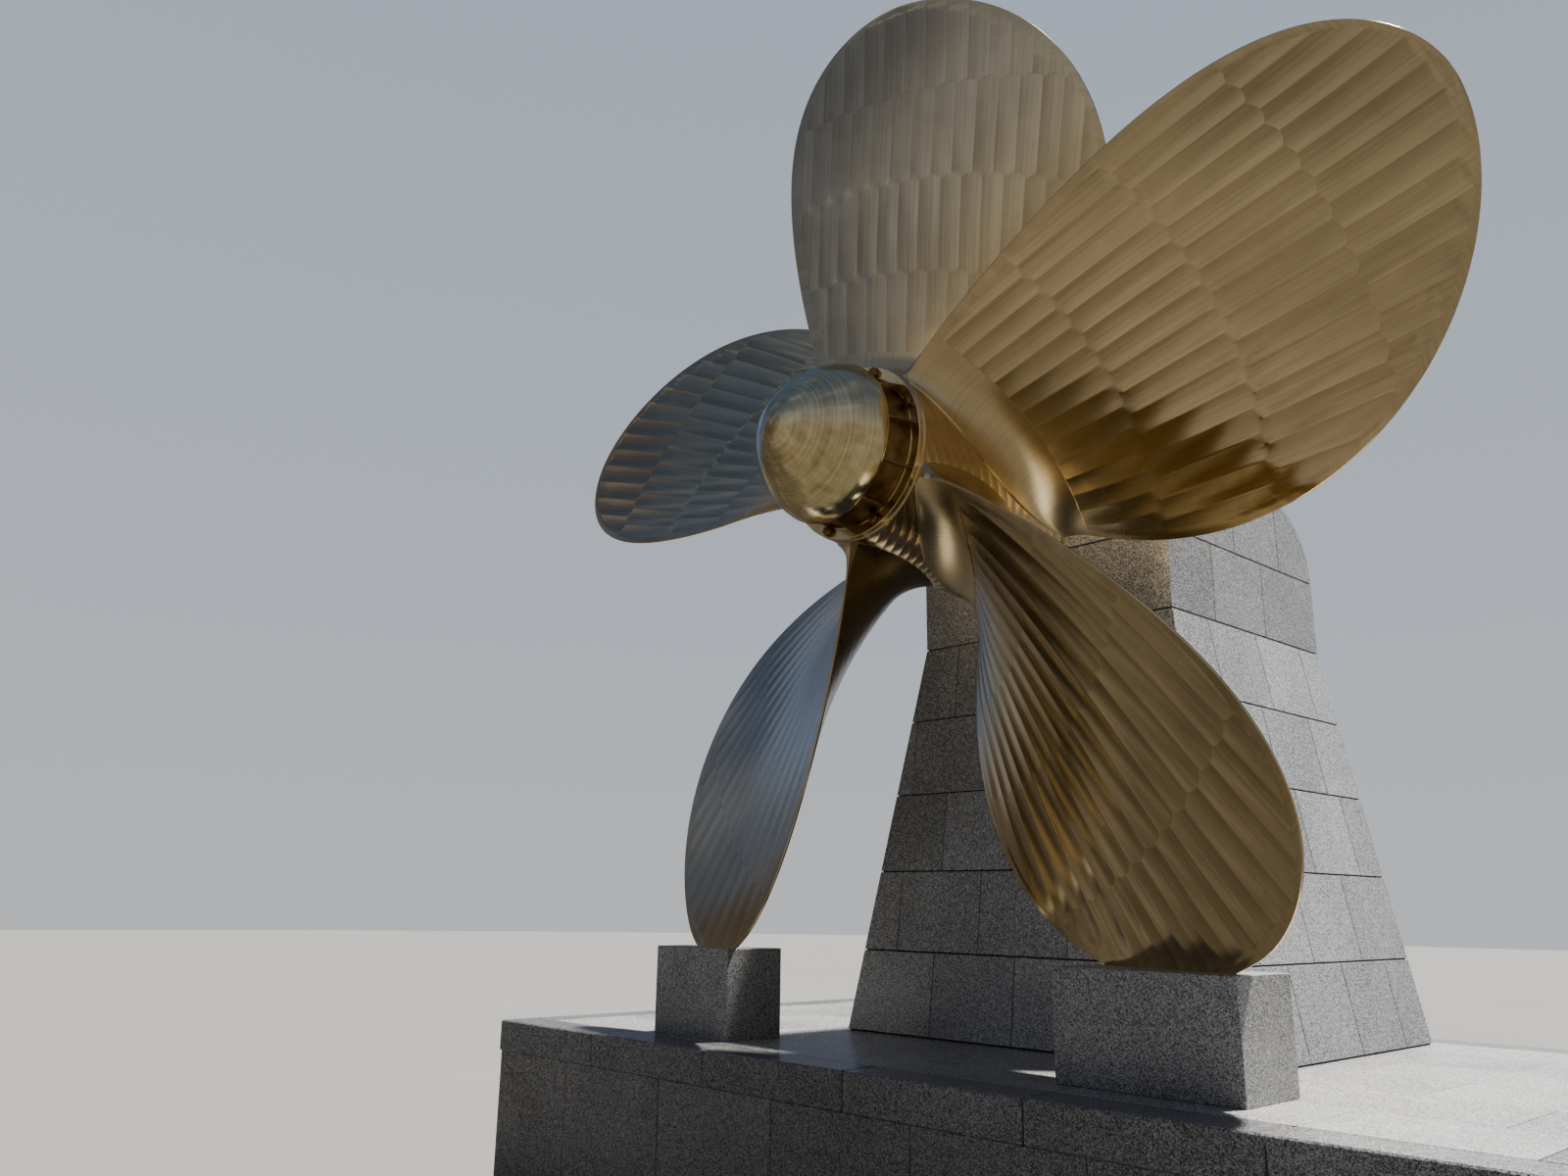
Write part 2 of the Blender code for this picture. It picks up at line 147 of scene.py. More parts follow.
class Finish(Nodes):
    """The material of one of the object's finishes: a Principled shader with what feeds it."""

    def __init__(self, name, constants):
        self.material = bpy.data.materials.new(name)
        self.material.use_nodes = True
        super().__init__(self.material.node_tree)
        self.shader = self.tree.nodes["Principled BSDF"]
        for socket, value in constants.items():
            self.shader.inputs[socket].default_value = value
        self.place = self.node("ShaderNodeTexCoord", output="Object")

    def noise(self, scale, detail=3.0, vector=None, stretch=None):
        """Cloudy noise over the surface, this many times a metre, stretched along an axis where asked."""
        vector = vector or self.place
        if stretch:
            vector = self.node("ShaderNodeVectorMath", {"operation": "MULTIPLY"}, {0: vector, 1: stretch})
        sockets = {"Vector": vector, "Scale": scale, "Detail": detail}
        return self.node("ShaderNodeTexNoise", {}, sockets, "Fac")

    def set(self, socket, value):
        self.feed(self.shader.inputs[socket], value)

    def bump(self, height, depth):
        """Relief of this depth in metres."""
        sockets = {"Strength": 1.0, "Distance": depth, "Height": height}
        self.set("Normal", self.node("ShaderNodeBump", {}, sockets))

    def ramp(self, amount, stops):
        return self.node("ShaderNodeValToRGB", {"stops": stops}, {"Fac": amount})


def coat(piece, finish):
    piece.data.materials.clear()
    piece.data.materials.append(finish.material)


let_go()
bpy.ops.mesh.primitive_circle_add(vertices=FLOOR_SIDES, radius=FLOOR_RADIUS, fill_type="NGON")
floor = bpy.context.object
floor.name = "studio_floor"
paper = Finish("studio_floor_paper", {"Roughness": 0.85, "Specular IOR Level": 0.2})
paper.set("Base Color", paper.mixed(paper.noise(scale=0.35), DARKER_PAPER, PALER_PAPER))
coat(floor, paper)
floor.visible_glossy = False

# The studio's lamp: a single large lamp, high up and a little behind the propeller, so that the aft faces and
# the podium's front are in shade and the right-hand sides of the stones are lit.
LAMP_PLACE = (2.0, 4.0, 12.0)
LAMP_FROM = (0.135, 0.40, 0.907)
LAMP_STRENGTH = 10.8
LAMP_COLOUR = (1.0, 0.965, 0.90)
LAMP_SOFTNESS = 3.0

let_go()
bpy.ops.object.light_add(type="SUN", location=LAMP_PLACE)
lamp = bpy.context.object
lamp.name = "studio_lamp"
lamp.data.energy = LAMP_STRENGTH
lamp.data.color = LAMP_COLOUR
lamp.data.angle = math.radians(LAMP_SOFTNESS)
lamp.rotation_mode = "QUATERNION"
lamp.rotation_quaternion = Vector(LAMP_FROM).to_track_quat("Z", "Y")

# The studio's light all round, which the bronze mirrors: pale in front, dimmer and cooler to the left with a
# paler gap low down, and a broad bright panel low behind. The camera sees a plain backdrop in its place.
LIGHT_STRENGTH = 0.61
FRONT_SWEEP = 0.45
GLOW = (0.22, 0.19, 0.16)
CLOUD_SHARE = 0.40
CLOUD = (0.60, 0.66, 0.80)
DARK_RIPPLE_SHARE = 0.45
DARK_RIPPLE = (0.22, 0.20, 0.18)
PALE_RIPPLE_SHARE = 0.35
PALE_RIPPLE = (0.70, 0.67, 0.63)
BACK_PANEL = (0.95, 1.00, 1.08)

studio = bpy.data.worlds.new("studio_light")
bpy.context.scene.world = studio
studio.use_nodes = True
around = Nodes(studio.node_tree)
direction = around.node("ShaderNodeTexCoord", output="Generated")
sideways = around.node("ShaderNodeSeparateXYZ", {}, {"Vector": direction}, "X")
away = around.node("ShaderNodeSeparateXYZ", {}, {"Vector": direction}, "Y")
height = around.node("ShaderNodeSeparateXYZ", {}, {"Vector": direction}, "Z")


def by_height(stops):
    """A colour that changes from straight below, at 0, over the horizon, at 0.5, to overhead, at 1."""
    return around.node("ShaderNodeValToRGB", {"stops": stops}, {"Fac": height * 0.5 + 0.5})


def between(amount, none, full):
    """0 where the amount is at none and 1 where it is at full."""
    return around.node("ShaderNodeMapRange", {}, {"Value": amount, "From Min": none, "From Max": full})


def patch(*edges):
    """A soft-edged patch of the light: 1 inside, and 0 past any edge, each given as between takes it."""
    share = between(*edges[0])
    for edge in edges[1:]:
        share = share * between(*edge)
    return share


def drifting(scale, detail, distortion):
    """Cloudy noise over the light all round."""
    sockets = {"Vector": direction, "Scale": scale, "Detail": detail, "Distortion": distortion}
    return around.node("ShaderNodeTexNoise", {}, sockets, "Fac")


front_light = by_height([
    (0.00, (0.42, 0.39, 0.33)),
    (0.15, (0.44, 0.40, 0.34)),
    (0.30, (0.51, 0.475, 0.42)),
    (0.42, (0.42, 0.39, 0.35)),
    (0.55, (0.44, 0.42, 0.40)),
    (0.62, (0.47, 0.47, 0.47)),
    (0.75, (0.37, 0.41, 0.50)),
    (0.83, (0.24, 0.28, 0.40)),
    (1.00, (0.15, 0.21, 0.33)),
])
left_light = by_height([
    (0.00, (0.22, 0.20, 0.17)),
    (0.47, (0.195, 0.178, 0.155)),
    (0.545, (0.16, 0.155, 0.16)),
    (0.565, (0.18, 0.23, 0.36)),
    (0.72, (0.12, 0.178, 0.345)),
    (0.80, (0.12, 0.17, 0.30)),
    (1.00, (0.15, 0.22, 0.37)),
])
turned_front = between(sideways - FRONT_SWEEP * between(height, 0.0, 1.0), -0.85, -0.35)
light = around.mixed(turned_front, left_light, front_light)

# The gap to the left, where the light is paler low down
left_gap = by_height([
    (0.50, (0.46, 0.45, 0.44)),
    (0.54, (0.38, 0.41, 0.46)),
    (0.60, (0.25, 0.35, 0.60)),
])
gap_share = patch(
    (away, 0.06, 0.20),
    (away, 0.44, 0.34),
    (sideways, -0.70, -0.82),
    (height, -0.03, 0.03),
    (height, 0.60, 0.45),
)
light = around.mixed(gap_share, light, left_gap)

# A dim warm glow to the left in front, where the light would otherwise be blue
glow_share = patch((away, -0.18, -0.34), (height, 0.0, 0.06), (height, 0.68, 0.54)) * (1.0 - turned_front)
light = around.mixed(glow_share, light, GLOW)

# Soft clouds higher up, and ripples of dark and pale near the horizon and below it
clouds = drifting(scale=2.6, detail=5.0, distortion=0.6)
light = around.mixed(patch((clouds, 0.52, 0.66), (height, 0.16, 0.30)) * CLOUD_SHARE, light, CLOUD)
ripples = drifting(scale=6.0, detail=4.0, distortion=1.2)
low_down = between(height, 0.14, 0.02)
dark_share = between(ripples, 0.47, 0.41) * low_down * DARK_RIPPLE_SHARE
light = around.mixed(dark_share, light, DARK_RIPPLE)
pale_share = between(ripples, 0.54, 0.59) * low_down * PALE_RIPPLE_SHARE
light = around.mixed(pale_share, light, PALE_RIPPLE)
panel_share = patch((away, 0.70, 0.86), (height, 0.01, 0.07), (height, 0.62, 0.40), (sideways, 0.56, 0.46))
light = around.mixed(panel_share, light, BACK_PANEL)

seen = around.node("ShaderNodeLightPath", output="Is Camera Ray")
backdrop = by_height([
    (0.48, (0.80, 0.81, 0.825)),
    (0.60, (0.71, 0.76, 0.83)),
    (1.00, (0.52, 0.61, 0.74)),
])
background = studio.node_tree.nodes["Background"]
around.feed(background.inputs["Color"], around.mixed(seen, light, backdrop))
around.feed(background.inputs["Strength"], LIGHT_STRENGTH)
bpy.context.scene.view_settings.look = "AgX - Medium High Contrast"

# The concrete under the stones: a cast core and a bed for the paving, both plain grey, rough and hidden
# but for the joints. They are the CAD solids as they stand.
DARK_CONCRETE = (0.30, 0.29, 0.27)
PALE_CONCRETE = (0.42, 0.41, 0.38)

concrete = Finish("cast_concrete", {"Specular IOR Level": 0.3})
cloud = concrete.noise(scale=3.0, detail=6.0)
pores = concrete.noise(scale=90.0, detail=2.0)
concrete.set("Base Color", concrete.mixed(cloud, DARK_CONCRETE, PALE_CONCRETE))
concrete.set("Roughness", 0.75 + 0.2 * pores)
concrete.bump(pores, depth=0.002)
for node in ("podium_core", "paving_bed"):
    coat(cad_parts[node], concrete)

# The podium's wall: sawn and polished slabs of dark grey granite set upright on the core, with open joints a
# few millimetres wide and a small chamfer round each slab.
X_AXIS, Y_AXIS, Z_AXIS = range(3)
STONE_SEED = 11
STONE_TONE = 0.10
CLOUD_TONE = 0.20
COARSE_SHARE = 0.62
GREY_SHARE = 0.30
GRAIN = 0.0045
WALL_JOINT = 0.004
WALL_ARRIS = 0.003
WALL_JOINTS_ALONG = (-2.14, -1.30, -0.46, 0.38, 1.22, 2.06)
WALL_JOINTS_ACROSS = (-1.22, -0.41, 0.40, 1.21)
SHORTEST_STONE = 0.1
luck = random.Random(STONE_SEED)


def granite_finish(name, ground, fleck, grain, polish):
    """Speckled granite: black, grey and pale grains of this size in metres, with this roughness."""
    stone = Finish(name, {"Specular IOR Level": 0.5})
    chances = []
    for size in (grain, 0.6 * grain):
        cells = {"Vector": stone.place, "Scale": 1.0 / size}
        cell = stone.node("ShaderNodeTexVoronoi", {"feature": "F1"}, cells, "Color")
        chances.append(stone.node("ShaderNodeSeparateColor", {}, {"Color": cell}, "Red"))
    coarse, small = chances
    cloud = stone.noise(scale=2.2, detail=4.0)
    tone = stone.node("ShaderNodeAttribute", {"attribute_name": "stone_tone"}, output="Fac")
    grains = COARSE_SHARE * coarse + (1.0 - COARSE_SHARE) * small
    grains = grains + (cloud - 0.5) * CLOUD_TONE + tone * STONE_TONE
    grey = tuple(dark + (pale - dark) * GREY_SHARE for dark, pale in zip(ground, fleck))
    stone.set("Base Color", stone.ramp(grains, [(0.12, ground), (0.45, grey), (0.90, fleck)]))
    stone.set("Roughness", polish + 0.10 * cloud + 0.10 * coarse)
    stone.bump(small, depth=0.0003)
    return stone


def pick(piece):
    let_go()
    piece.select_set(True)
    bpy.context.view_layer.objects.active = piece


def chamfer(piece, width, steps=1, over=30.0):
    """Bevels the piece's edges whose faces turn by more than this angle."""
    pick(piece)
    edge = piece.modifiers.new("arris", "BEVEL")
    edge.width = width
    edge.segments = steps
    edge.limit_method = "ANGLE"
    edge.angle_limit = math.radians(over)
    bpy.ops.object.modifier_apply(modifier="arris")


def tint_stone(stone):
    """Gives a stone its own slight shade of grey."""
    tone = stone.data.attributes.new("stone_tone", "FLOAT", "FACE")
    shade = luck.uniform(-0.5, 0.5)
    tone.data.foreach_set("value", [shade] * len(stone.data.polygons))


def cut_stone(name, low, high, arris):
    """One squared stone between two corners, with its arrises chamfered."""
    let_go()
    middle = (Vector(low) + Vector(high)) / 2.0
    size = Vector(high) - Vector(low)
    bpy.ops.mesh.primitive_cube_add(size=1.0, location=middle, scale=size)
    stone = bpy.context.object
    stone.name = name
    bpy.ops.object.transform_apply(location=True, rotation=True, scale=True)
    chamfer(stone, arris)
    tint_stone(stone)
    return stone


def row_of_stones(name, low, high, axis, joints, gap, arris):
    """Stones side by side along an axis between two corners, split at the joints."""
    first, last = low[axis] + SHORTEST_STONE, high[axis] - SHORTEST_STONE
    inside = [joint for joint in joints if first < joint < last]
    ends = [low[axis] - gap / 2.0, *inside, high[axis] + gap / 2.0]
    stones = []
    for start, end in zip(ends, ends[1:]):
        corner_low = list(low)
        corner_high = list(high)
        corner_low[axis] = start + gap / 2.0
        corner_high[axis] = end - gap / 2.0
        stones.append(cut_stone(name, corner_low, corner_high, arris))
    return stones


def laid_as_one(parts, name):
    """Joins parts, such as the stones of a course, into one piece."""
    let_go()
    for part in parts:
        part.select_set(True)
    bpy.context.view_layer.objects.active = parts[0]
    bpy.ops.object.join()
    piece = bpy.context.object
    piece.name = name
    piece.data.name = name
    return piece


def podium_sides(kind, joints_along, joints_across):
    """The podium's four sides of a kind: name, node, the axis it runs along and its joints."""
    for side in ("front", "back"):
        yield side, f"podium_{side}_{kind}", X_AXIS, joints_along
    for side in ("left", "right"):
        yield side, f"podium_{side}_{kind}", Y_AXIS, joints_across


wall_granite = granite_finish(
    "wall_granite", ground=(0.023, 0.023, 0.023), fleck=(0.375, 0.37, 0.36), grain=GRAIN, polish=0.08
)
for side, node, axis, joints in podium_sides("facing", WALL_JOINTS_ALONG, WALL_JOINTS_ACROSS):
    low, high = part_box(node)
    slabs = row_of_stones(node, low, high, axis, joints, WALL_JOINT, WALL_ARRIS)
    wall = laid_as_one(slabs, f"{side}_wall_slabs")
    coat(wall, wall_granite)
    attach(wall, "root")
    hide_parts(node)

# The coping: solid granite stones laid flat round the podium's edge, a centimetre proud of the wall, with a
# polished face and top and a chamfer that catches the light along the edge.
COPING_JOINT = 0.004
COPING_ARRIS = 0.007
COPING_JOINTS_ALONG = (-1.90, -0.95, 0.0, 0.95, 1.90)
COPING_JOINTS_ACROSS = (-0.815, 0.0, 0.815)

coping_granite = granite_finish(
    "coping_granite", ground=(0.024, 0.024, 0.025), fleck=(0.375, 0.375, 0.375), grain=GRAIN, polish=0.08
)
for side, node, axis, joints in podium_sides("coping", COPING_JOINTS_ALONG, COPING_JOINTS_ACROSS):
    low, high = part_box(node)
    stones = row_of_stones(node, low, high, axis, joints, COPING_JOINT, COPING_ARRIS)
    coping = laid_as_one(stones, f"{side}_coping_stones")
    coat(coping, coping_granite)
    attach(coping, "root")
    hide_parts(node)

# The paving: granite slabs bedded inside the coping in six rows, each row shifted by half a slab, with fine
# open joints.
PAVING_ROWS = 6
PAVING_LENGTH = 0.950
PAVING_REACH = 3
PAVING_JOINT = 0.004
PAVING_ARRIS = 0.0006

paving_granite = granite_finish(
    "paving_granite", ground=(0.098, 0.098, 0.099), fleck=(0.60, 0.60, 0.595), grain=GRAIN, polish=0.14
)
low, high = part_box("podium_paving")
row_depth = (high.y - low.y) / PAVING_ROWS
slabs = []
for row in range(PAVING_ROWS):
    shift = PAVING_LENGTH / 2.0 if row % 2 else 0.0
    joints = [shift + step * PAVING_LENGTH for step in range(-PAVING_REACH, PAVING_REACH + 1)]
    row_low = (low.x, low.y + row * row_depth + PAVING_JOINT / 2.0, low.z)
    row_high = (high.x, low.y + (row + 1) * row_depth - PAVING_JOINT / 2.0, high.z)
    slabs += row_of_stones("paving_slab", row_low, row_high, X_AXIS, joints, PAVING_JOINT, PAVING_ARRIS)
paving = laid_as_one(slabs, "paving_slabs")
coat(paving, paving_granite)
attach(paving, "root")
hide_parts("podium_paving")

# The pedestal: seven courses of granite, tapered over the lower five and plumb above. Each course is sawn
# into stones that break joint with the course below, and the top one is rounded over at the back. Dark mortar
# fills the joints and stands back from the stones' faces.
COURSE_JOINT = 0.005
BED_JOINT = 0.007
COURSE_ARRIS = 0.002
COURSE_ARRIS_OVER = 40.0
JOINT_DEPTH = 0.010
COURSE_SPLITS_X = (
    (-0.612, -0.067, 0.478, 1.000),
    (-0.888, -0.316, 0.250, 0.800),
    (-0.597, -0.040, 0.510),
    (-0.860, -0.300, 0.260, 0.800),
    (-0.576, -0.010, 0.550),
    (-0.290, 0.275),
    (-0.560, 0.000, 0.560),
)
COURSE_SPLITS_Y = (
    (0.028, 0.623, 1.165),
    (-0.240, 0.330, 0.900),
    (0.060, 0.620, 1.180),
    (-0.120, 0.480, 1.040),
    (0.100, 0.640, 1.180),
    (0.200, 0.780),
    (0.480, 1.020),
)
TOP_COURSE = f"pedestal_course_{len(COURSE_SPLITS_X)}"
TOP_ROUNDING = 0.440
TOP_ROUNDING_STEPS = 24
SAME_LEVEL = 0.001
NEAR_EDGE = 0.01
MORTAR_DARK = (0.012, 0.012, 0.012)
MORTAR_PALE = (0.035, 0.034, 0.032)


def edit(piece):
    pick(piece)
    bpy.ops.object.mode_set(mode="EDIT")


def done():
    bpy.ops.object.mode_set(mode="OBJECT")


def take(piece, kind, wanted):
    """Selects, in edit mode, those "faces" or "edges" of the piece that wanted(part) accepts."""
    shape = bmesh.from_edit_mesh(piece.data)
    for part in (*shape.verts, *shape.edges, *shape.faces):
        part.select = False
    for part in getattr(shape, kind):
        if wanted(part):
            part.select_set(True)
    bmesh.update_edit_mesh(piece.data)


def sawn(piece, start, end, axis):
    """Saws the piece to what lies between start and end on an axis, with closed cut faces."""
    for place, keep_above in ((start, True), (end, False)):
        if place is None:
            continue
        edit(piece)
        bpy.ops.mesh.select_all(action="SELECT")
        through = [0.0, 0.0, 0.0]
        through[axis] = place
        facing = [0.0, 0.0, 0.0]
        facing[axis] = 1.0
        bpy.ops.mesh.bisect(
            plane_co=through,
            plane_no=facing,
            use_fill=True,
            clear_inner=keep_above,
            clear_outer=not keep_above,
        )
        done()


def copied(piece, name):
    twin = piece.copy()
    twin.data = piece.data.copy()
    twin.name = name
    bpy.context.collection.objects.link(twin)
    return twin


def footprint(points):
    """The lowest and the highest x and y of these points."""
    low = [min(point[axis] for point in points) for axis in (X_AXIS, Y_AXIS)]
    high = [max(point[axis] for point in points) for axis in (X_AXIS, Y_AXIS)]
    return low, high


def course_block(node):
    """A tapered block over the node's corners: a cube whose top face is resized and shifted."""
    points = [vertex.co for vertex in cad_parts[node].data.vertices]
    low_z = min(point.z for point in points)
    high_z = max(point.z for point in points)
    foot_low, foot_high = footprint([point for point in points if point.z < low_z + SAME_LEVEL])
    head_low, head_high = footprint([point for point in points if point.z > high_z - SAME_LEVEL])
    if node == TOP_COURSE:
        head_low, head_high = foot_low, foot_high
    width = foot_high[0] - foot_low[0]
    depth = foot_high[1] - foot_low[1]
    middle = ((foot_low[0] + foot_high[0]) / 2.0, (foot_low[1] + foot_high[1]) / 2.0, (low_z + high_z) / 2.0)
    let_go()
    bpy.ops.mesh.primitive_cube_add(size=1.0, location=middle, scale=(width, depth, high_z - low_z))
    block = bpy.context.object
    bpy.ops.object.transform_apply(location=True, rotation=True, scale=True)
    edit(block)
    take(block, "faces", lambda face: face.normal.z > 0.5)
    taper = ((head_high[0] - head_low[0]) / width, (head_high[1] - head_low[1]) / depth, 1.0)
    bpy.ops.transform.resize(value=taper, center_override=(middle[0], middle[1], high_z))
    set_back = (head_low[1] + head_high[1]) / 2.0 - middle[1]
    bpy.ops.transform.translate(value=(0.0, set_back, 0.0))
    done()
    return block


def round_behind(block, high):
    """Rounds the top course's block over at its upper back edge."""
    edge_y = high.y - NEAR_EDGE
    edge_z = high.z - NEAR_EDGE
    edit(block)
    take(block, "edges", lambda edge: all(end.co.y > edge_y and end.co.z > edge_z for end in edge.verts))
    bpy.ops.mesh.bevel(offset=TOP_ROUNDING, segments=TOP_ROUNDING_STEPS, affect="EDGES")
    done()


def mortar_fill(block, low, high, sunk):
    """The mortar of a course: its block, drawn in from the sides and sunk this deep from the top."""
    fill = copied(block, "mortar_fill")
    edit(fill)
    bpy.ops.mesh.select_all(action="SELECT")
    size = high - low
    middle = (low + high) / 2.0
    shrink = (1.0 - 2.0 * JOINT_DEPTH / size.x, 1.0 - 2.0 * JOINT_DEPTH / size.y, 1.0 - sunk / size.z)
    bpy.ops.transform.resize(value=shrink, center_override=(middle.x, middle.y, low.z))
    done()
    return fill


def beside(joint, gap):
    """Where a stone is sawn beside a joint. A course's end, None, isn't sawn, and the joint at 0 is tight."""
    return joint + gap if joint else joint


def course_stones(block, splits_x, splits_y, inner_show):
    """Saws a course's block into its stones, without the inner ones where these don't show."""
    half_gap = COURSE_JOINT / 2.0
    columns = [None, *splits_x, None]
    rows = [None, *splits_y, None]
    stones = []
    for x_start, x_end in zip(columns, columns[1:]):
        column = copied(block, "course_column")
        sawn(column, beside(x_start, half_gap), beside(x_end, -half_gap), X_AXIS)
        for y_start, y_end in zip(rows, rows[1:]):
            inner = None not in (x_start, x_end, y_start, y_end)
            if inner and not inner_show:
                continue
            stone = copied(column, "course_stone")
            sawn(stone, beside(y_start, half_gap), beside(y_end, -half_gap), Y_AXIS)
            chamfer(stone, COURSE_ARRIS, over=COURSE_ARRIS_OVER)
            tint_stone(stone)
            stones.append(stone)
        bpy.data.objects.remove(column)
    return stones


pedestal_granite = granite_finish(
    "pedestal_granite", ground=(0.062, 0.065, 0.069), fleck=(0.585, 0.60, 0.625), grain=GRAIN, polish=0.12
)
courses = [f"pedestal_course_{number}" for number in range(1, len(COURSE_SPLITS_X) + 1)]
fills = []
for number, (node, splits_x, splits_y) in enumerate(zip(courses, COURSE_SPLITS_X, COURSE_SPLITS_Y), start=1):
    on_top = node == TOP_COURSE
    low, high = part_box(node)
    block = course_block(node)
    if on_top:
        round_behind(block, high)
    fills.append(mortar_fill(block, low, high, JOINT_DEPTH if on_top else 0.0))
    sawn(block, low.z + BED_JOINT, None, Z_AXIS)
    course = laid_as_one(course_stones(block, splits_x, splits_y, on_top), f"course_{number}_stones")
    bpy.data.objects.remove(block)
    coat(course, pedestal_granite)
    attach(course, "root")
    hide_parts(node)

mortar = Finish("joint_mortar", {"Specular IOR Level": 0.2})
mortar_sand = mortar.noise(scale=160.0)
mortar.set("Base Color", mortar.mixed(mortar_sand, MORTAR_DARK, MORTAR_PALE))
mortar.set("Roughness", 0.8 + 0.15 * mortar_sand)
mortar.bump(mortar_sand, depth=0.001)
filling = laid_as_one(fills, "pedestal_joint_mortar")
coat(filling, mortar)
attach(filling, "root")
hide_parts(*courses)

# The two blocks: single stones of finely speckled polished granite that stand on the paving. Each has a slot
# sawn to the curve of a lower blade, whose edge is let into it.
BLOCK_ARRIS = 0.004
BLOCK_ARRIS_STEPS = 2
BLOCK_GRAIN = 0.0042
ON_FACE = 0.0005
LOOSE_EDGES = 0.00002


def is_arris(edge, low, high):
    """Whether an edge runs along an edge of the squared block, and not along its slot."""
    touching = 0
    for axis in (X_AXIS, Y_AXIS, Z_AXIS):
        for side_place in (low[axis], high[axis]):
            touching += all(abs(vertex.co[axis] - side_place) < ON_FACE for vertex in edge.verts)
    return touching == 2


block_granite = granite_finish(
    "block_granite", ground=(0.041, 0.042, 0.043), fleck=(0.51, 0.51, 0.515), grain=BLOCK_GRAIN, polish=0.10
)
for side in ("left", "right"):
    node = f"blade_block_{side}"
    low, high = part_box(node)
    block = copied(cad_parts[node], f"{side}_blade_block")
    edit(block)
    bpy.ops.mesh.select_all(action="SELECT")
    bpy.ops.mesh.remove_doubles(threshold=LOOSE_EDGES)
    bpy.ops.mesh.dissolve_limited(angle_limit=math.radians(1.0))
    take(block, "edges", lambda edge: is_arris(edge, low, high))
    bpy.ops.mesh.bevel(offset=BLOCK_ARRIS, segments=BLOCK_ARRIS_STEPS, affect="EDGES", clamp_overlap=True)
    done()
    tint_stone(block)
    coat(block, block_granite)
    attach(block, "root")
    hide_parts(node)

# The stub shaft: a dull steel bar with fine turning marks and some rust, from the hub's bore to its socket in
# the top course. It is the CAD solid as it stands.
CLEAN_STEEL = (0.41, 0.40, 0.385)
RUSTY_STEEL = (0.24, 0.18, 0.13)

shaft_steel = Finish("stub_shaft_steel", {"Metallic": 1.0, "Specular IOR Level": 0.5})
turning = shaft_steel.noise(scale=60.0, detail=2.0, stretch=(0.2, 12.0, 0.2))
rust = shaft_steel.noise(scale=9.0, detail=5.0)
shaft_steel.set("Base Color", shaft_steel.mixed(rust, CLEAN_STEEL, RUSTY_STEEL))
shaft_steel.set("Roughness", 0.35 + 0.35 * rust)
shaft_steel.bump(turning, depth=0.0004)
coat(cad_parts["stub_shaft"], shaft_steel)

# The hub: a slightly conical boss, cast in one with the blades in bronze. Between the blades a milling cutter
# has left short scallops across the channel, and the shaft's bore opens in its forward end.
AXIS_Z = (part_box("boss_cap")[0].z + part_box("boss_cap")[1].z) / 2.0
AXIS = Vector((0.0, 0.0, AXIS_Z))
HUB_AFT_Y = -1.757
HUB_AFT_RADIUS = 0.4455
HUB_FORWARD_Y = -0.6265
HUB_FORWARD_RADIUS = 0.560
HUB_EDGE = 0.008
HUB_COLUMNS = 240
SCALLOP_STARTS = 30
SCALLOP_PITCH_Y = 0.058
SCALLOP_DEPTH = 0.0018
SCALLOP_STOPS = (0.0, 0.08, 0.25, 0.5, 0.75, 0.92)
BORE_RADIUS = 0.1903
BORE_DEPTH = 0.700
POLE_RADIUS = 0.002
WELD = 0.00003
THINNEST_FACE = 0.00001
STREAK_TONE = 0.75
SMEAR_TONE = 0.80
PATINA_TONE = 0.30
# The strength of the painted shade across each strip, dark on one side and light on the other
STRIP_PAINTED_SHADE = 0.82
STRIP_TONE = 0.30
DARK_STOP = 0.15
BRIGHT_STOP = 0.85
SMEAR_ROUGHNESS = 0.10
SCRATCH_ROUGHNESS = 0.05
ROOT_ROUGHNESS = 0.17
ROOT_ROUGH_BELOW = 1.8
ROOT_ROUGHEST = 0.8
FORWARD_STRIPS = 40.0


def around_axis(radius, turn, y):
    """The point at this radius and clockwise turn, in radians, round the propeller's axis."""
    return (radius * math.sin(turn), y, AXIS_Z + radius * math.cos(turn))


def hub_radius(y):
    share = (y - HUB_AFT_Y) / (HUB_FORWARD_Y - HUB_AFT_Y)
    return HUB_AFT_RADIUS + (HUB_FORWARD_RADIUS - HUB_AFT_RADIUS) * share


def hollow(across):
    """A cutter's hollow: 0 at both sides of its path, where across is 0 or 1, and 1 in the middle."""
    return 4.0 * across * (1.0 - across)


def from_grid(name, rings, marks=None):
    """A piece skinned over rings of points. Points that fall together are merged, and the first and last
    rings are closed. marks gives each point its strip and radius, kept as one UV map, and how far across
    its strip it lies and how much of the cut is left there, kept as another."""
    points = [point for ring in rings for point in ring]
    count = len(rings[0])
    faces = []
    for ring in range(len(rings) - 1):
        for step in range(count):
            start = ring * count + step
            after = ring * count + (step + 1) % count
            faces.append((start, after, after + count, start + count))
    faces.append(tuple(reversed(range(count))))
    faces.append(tuple(range(len(points) - count, len(points))))
    mesh = bpy.data.meshes.new(name)
    mesh.from_pydata(points, [], faces)
    if marks:
        flat = [mark for ring in marks for mark in ring]
        for pattern, first in (("milling", 0), ("cutter", 2)):
            layer = mesh.uv_layers.new(name=pattern)
            for loop in mesh.loops:
                layer.data[loop.index].uv = flat[loop.vertex_index][first:first + 2]
    shape = bmesh.new()
    shape.from_mesh(mesh)
    bmesh.ops.remove_doubles(shape, verts=shape.verts, dist=WELD)
    bmesh.ops.dissolve_degenerate(shape, edges=shape.edges, dist=THINNEST_FACE)
    bmesh.ops.recalc_face_normals(shape, faces=shape.faces)
    shape.to_mesh(mesh)
    shape.free()
    piece = bpy.data.objects.new(name, mesh)
    bpy.context.collection.objects.link(piece)
    return piece


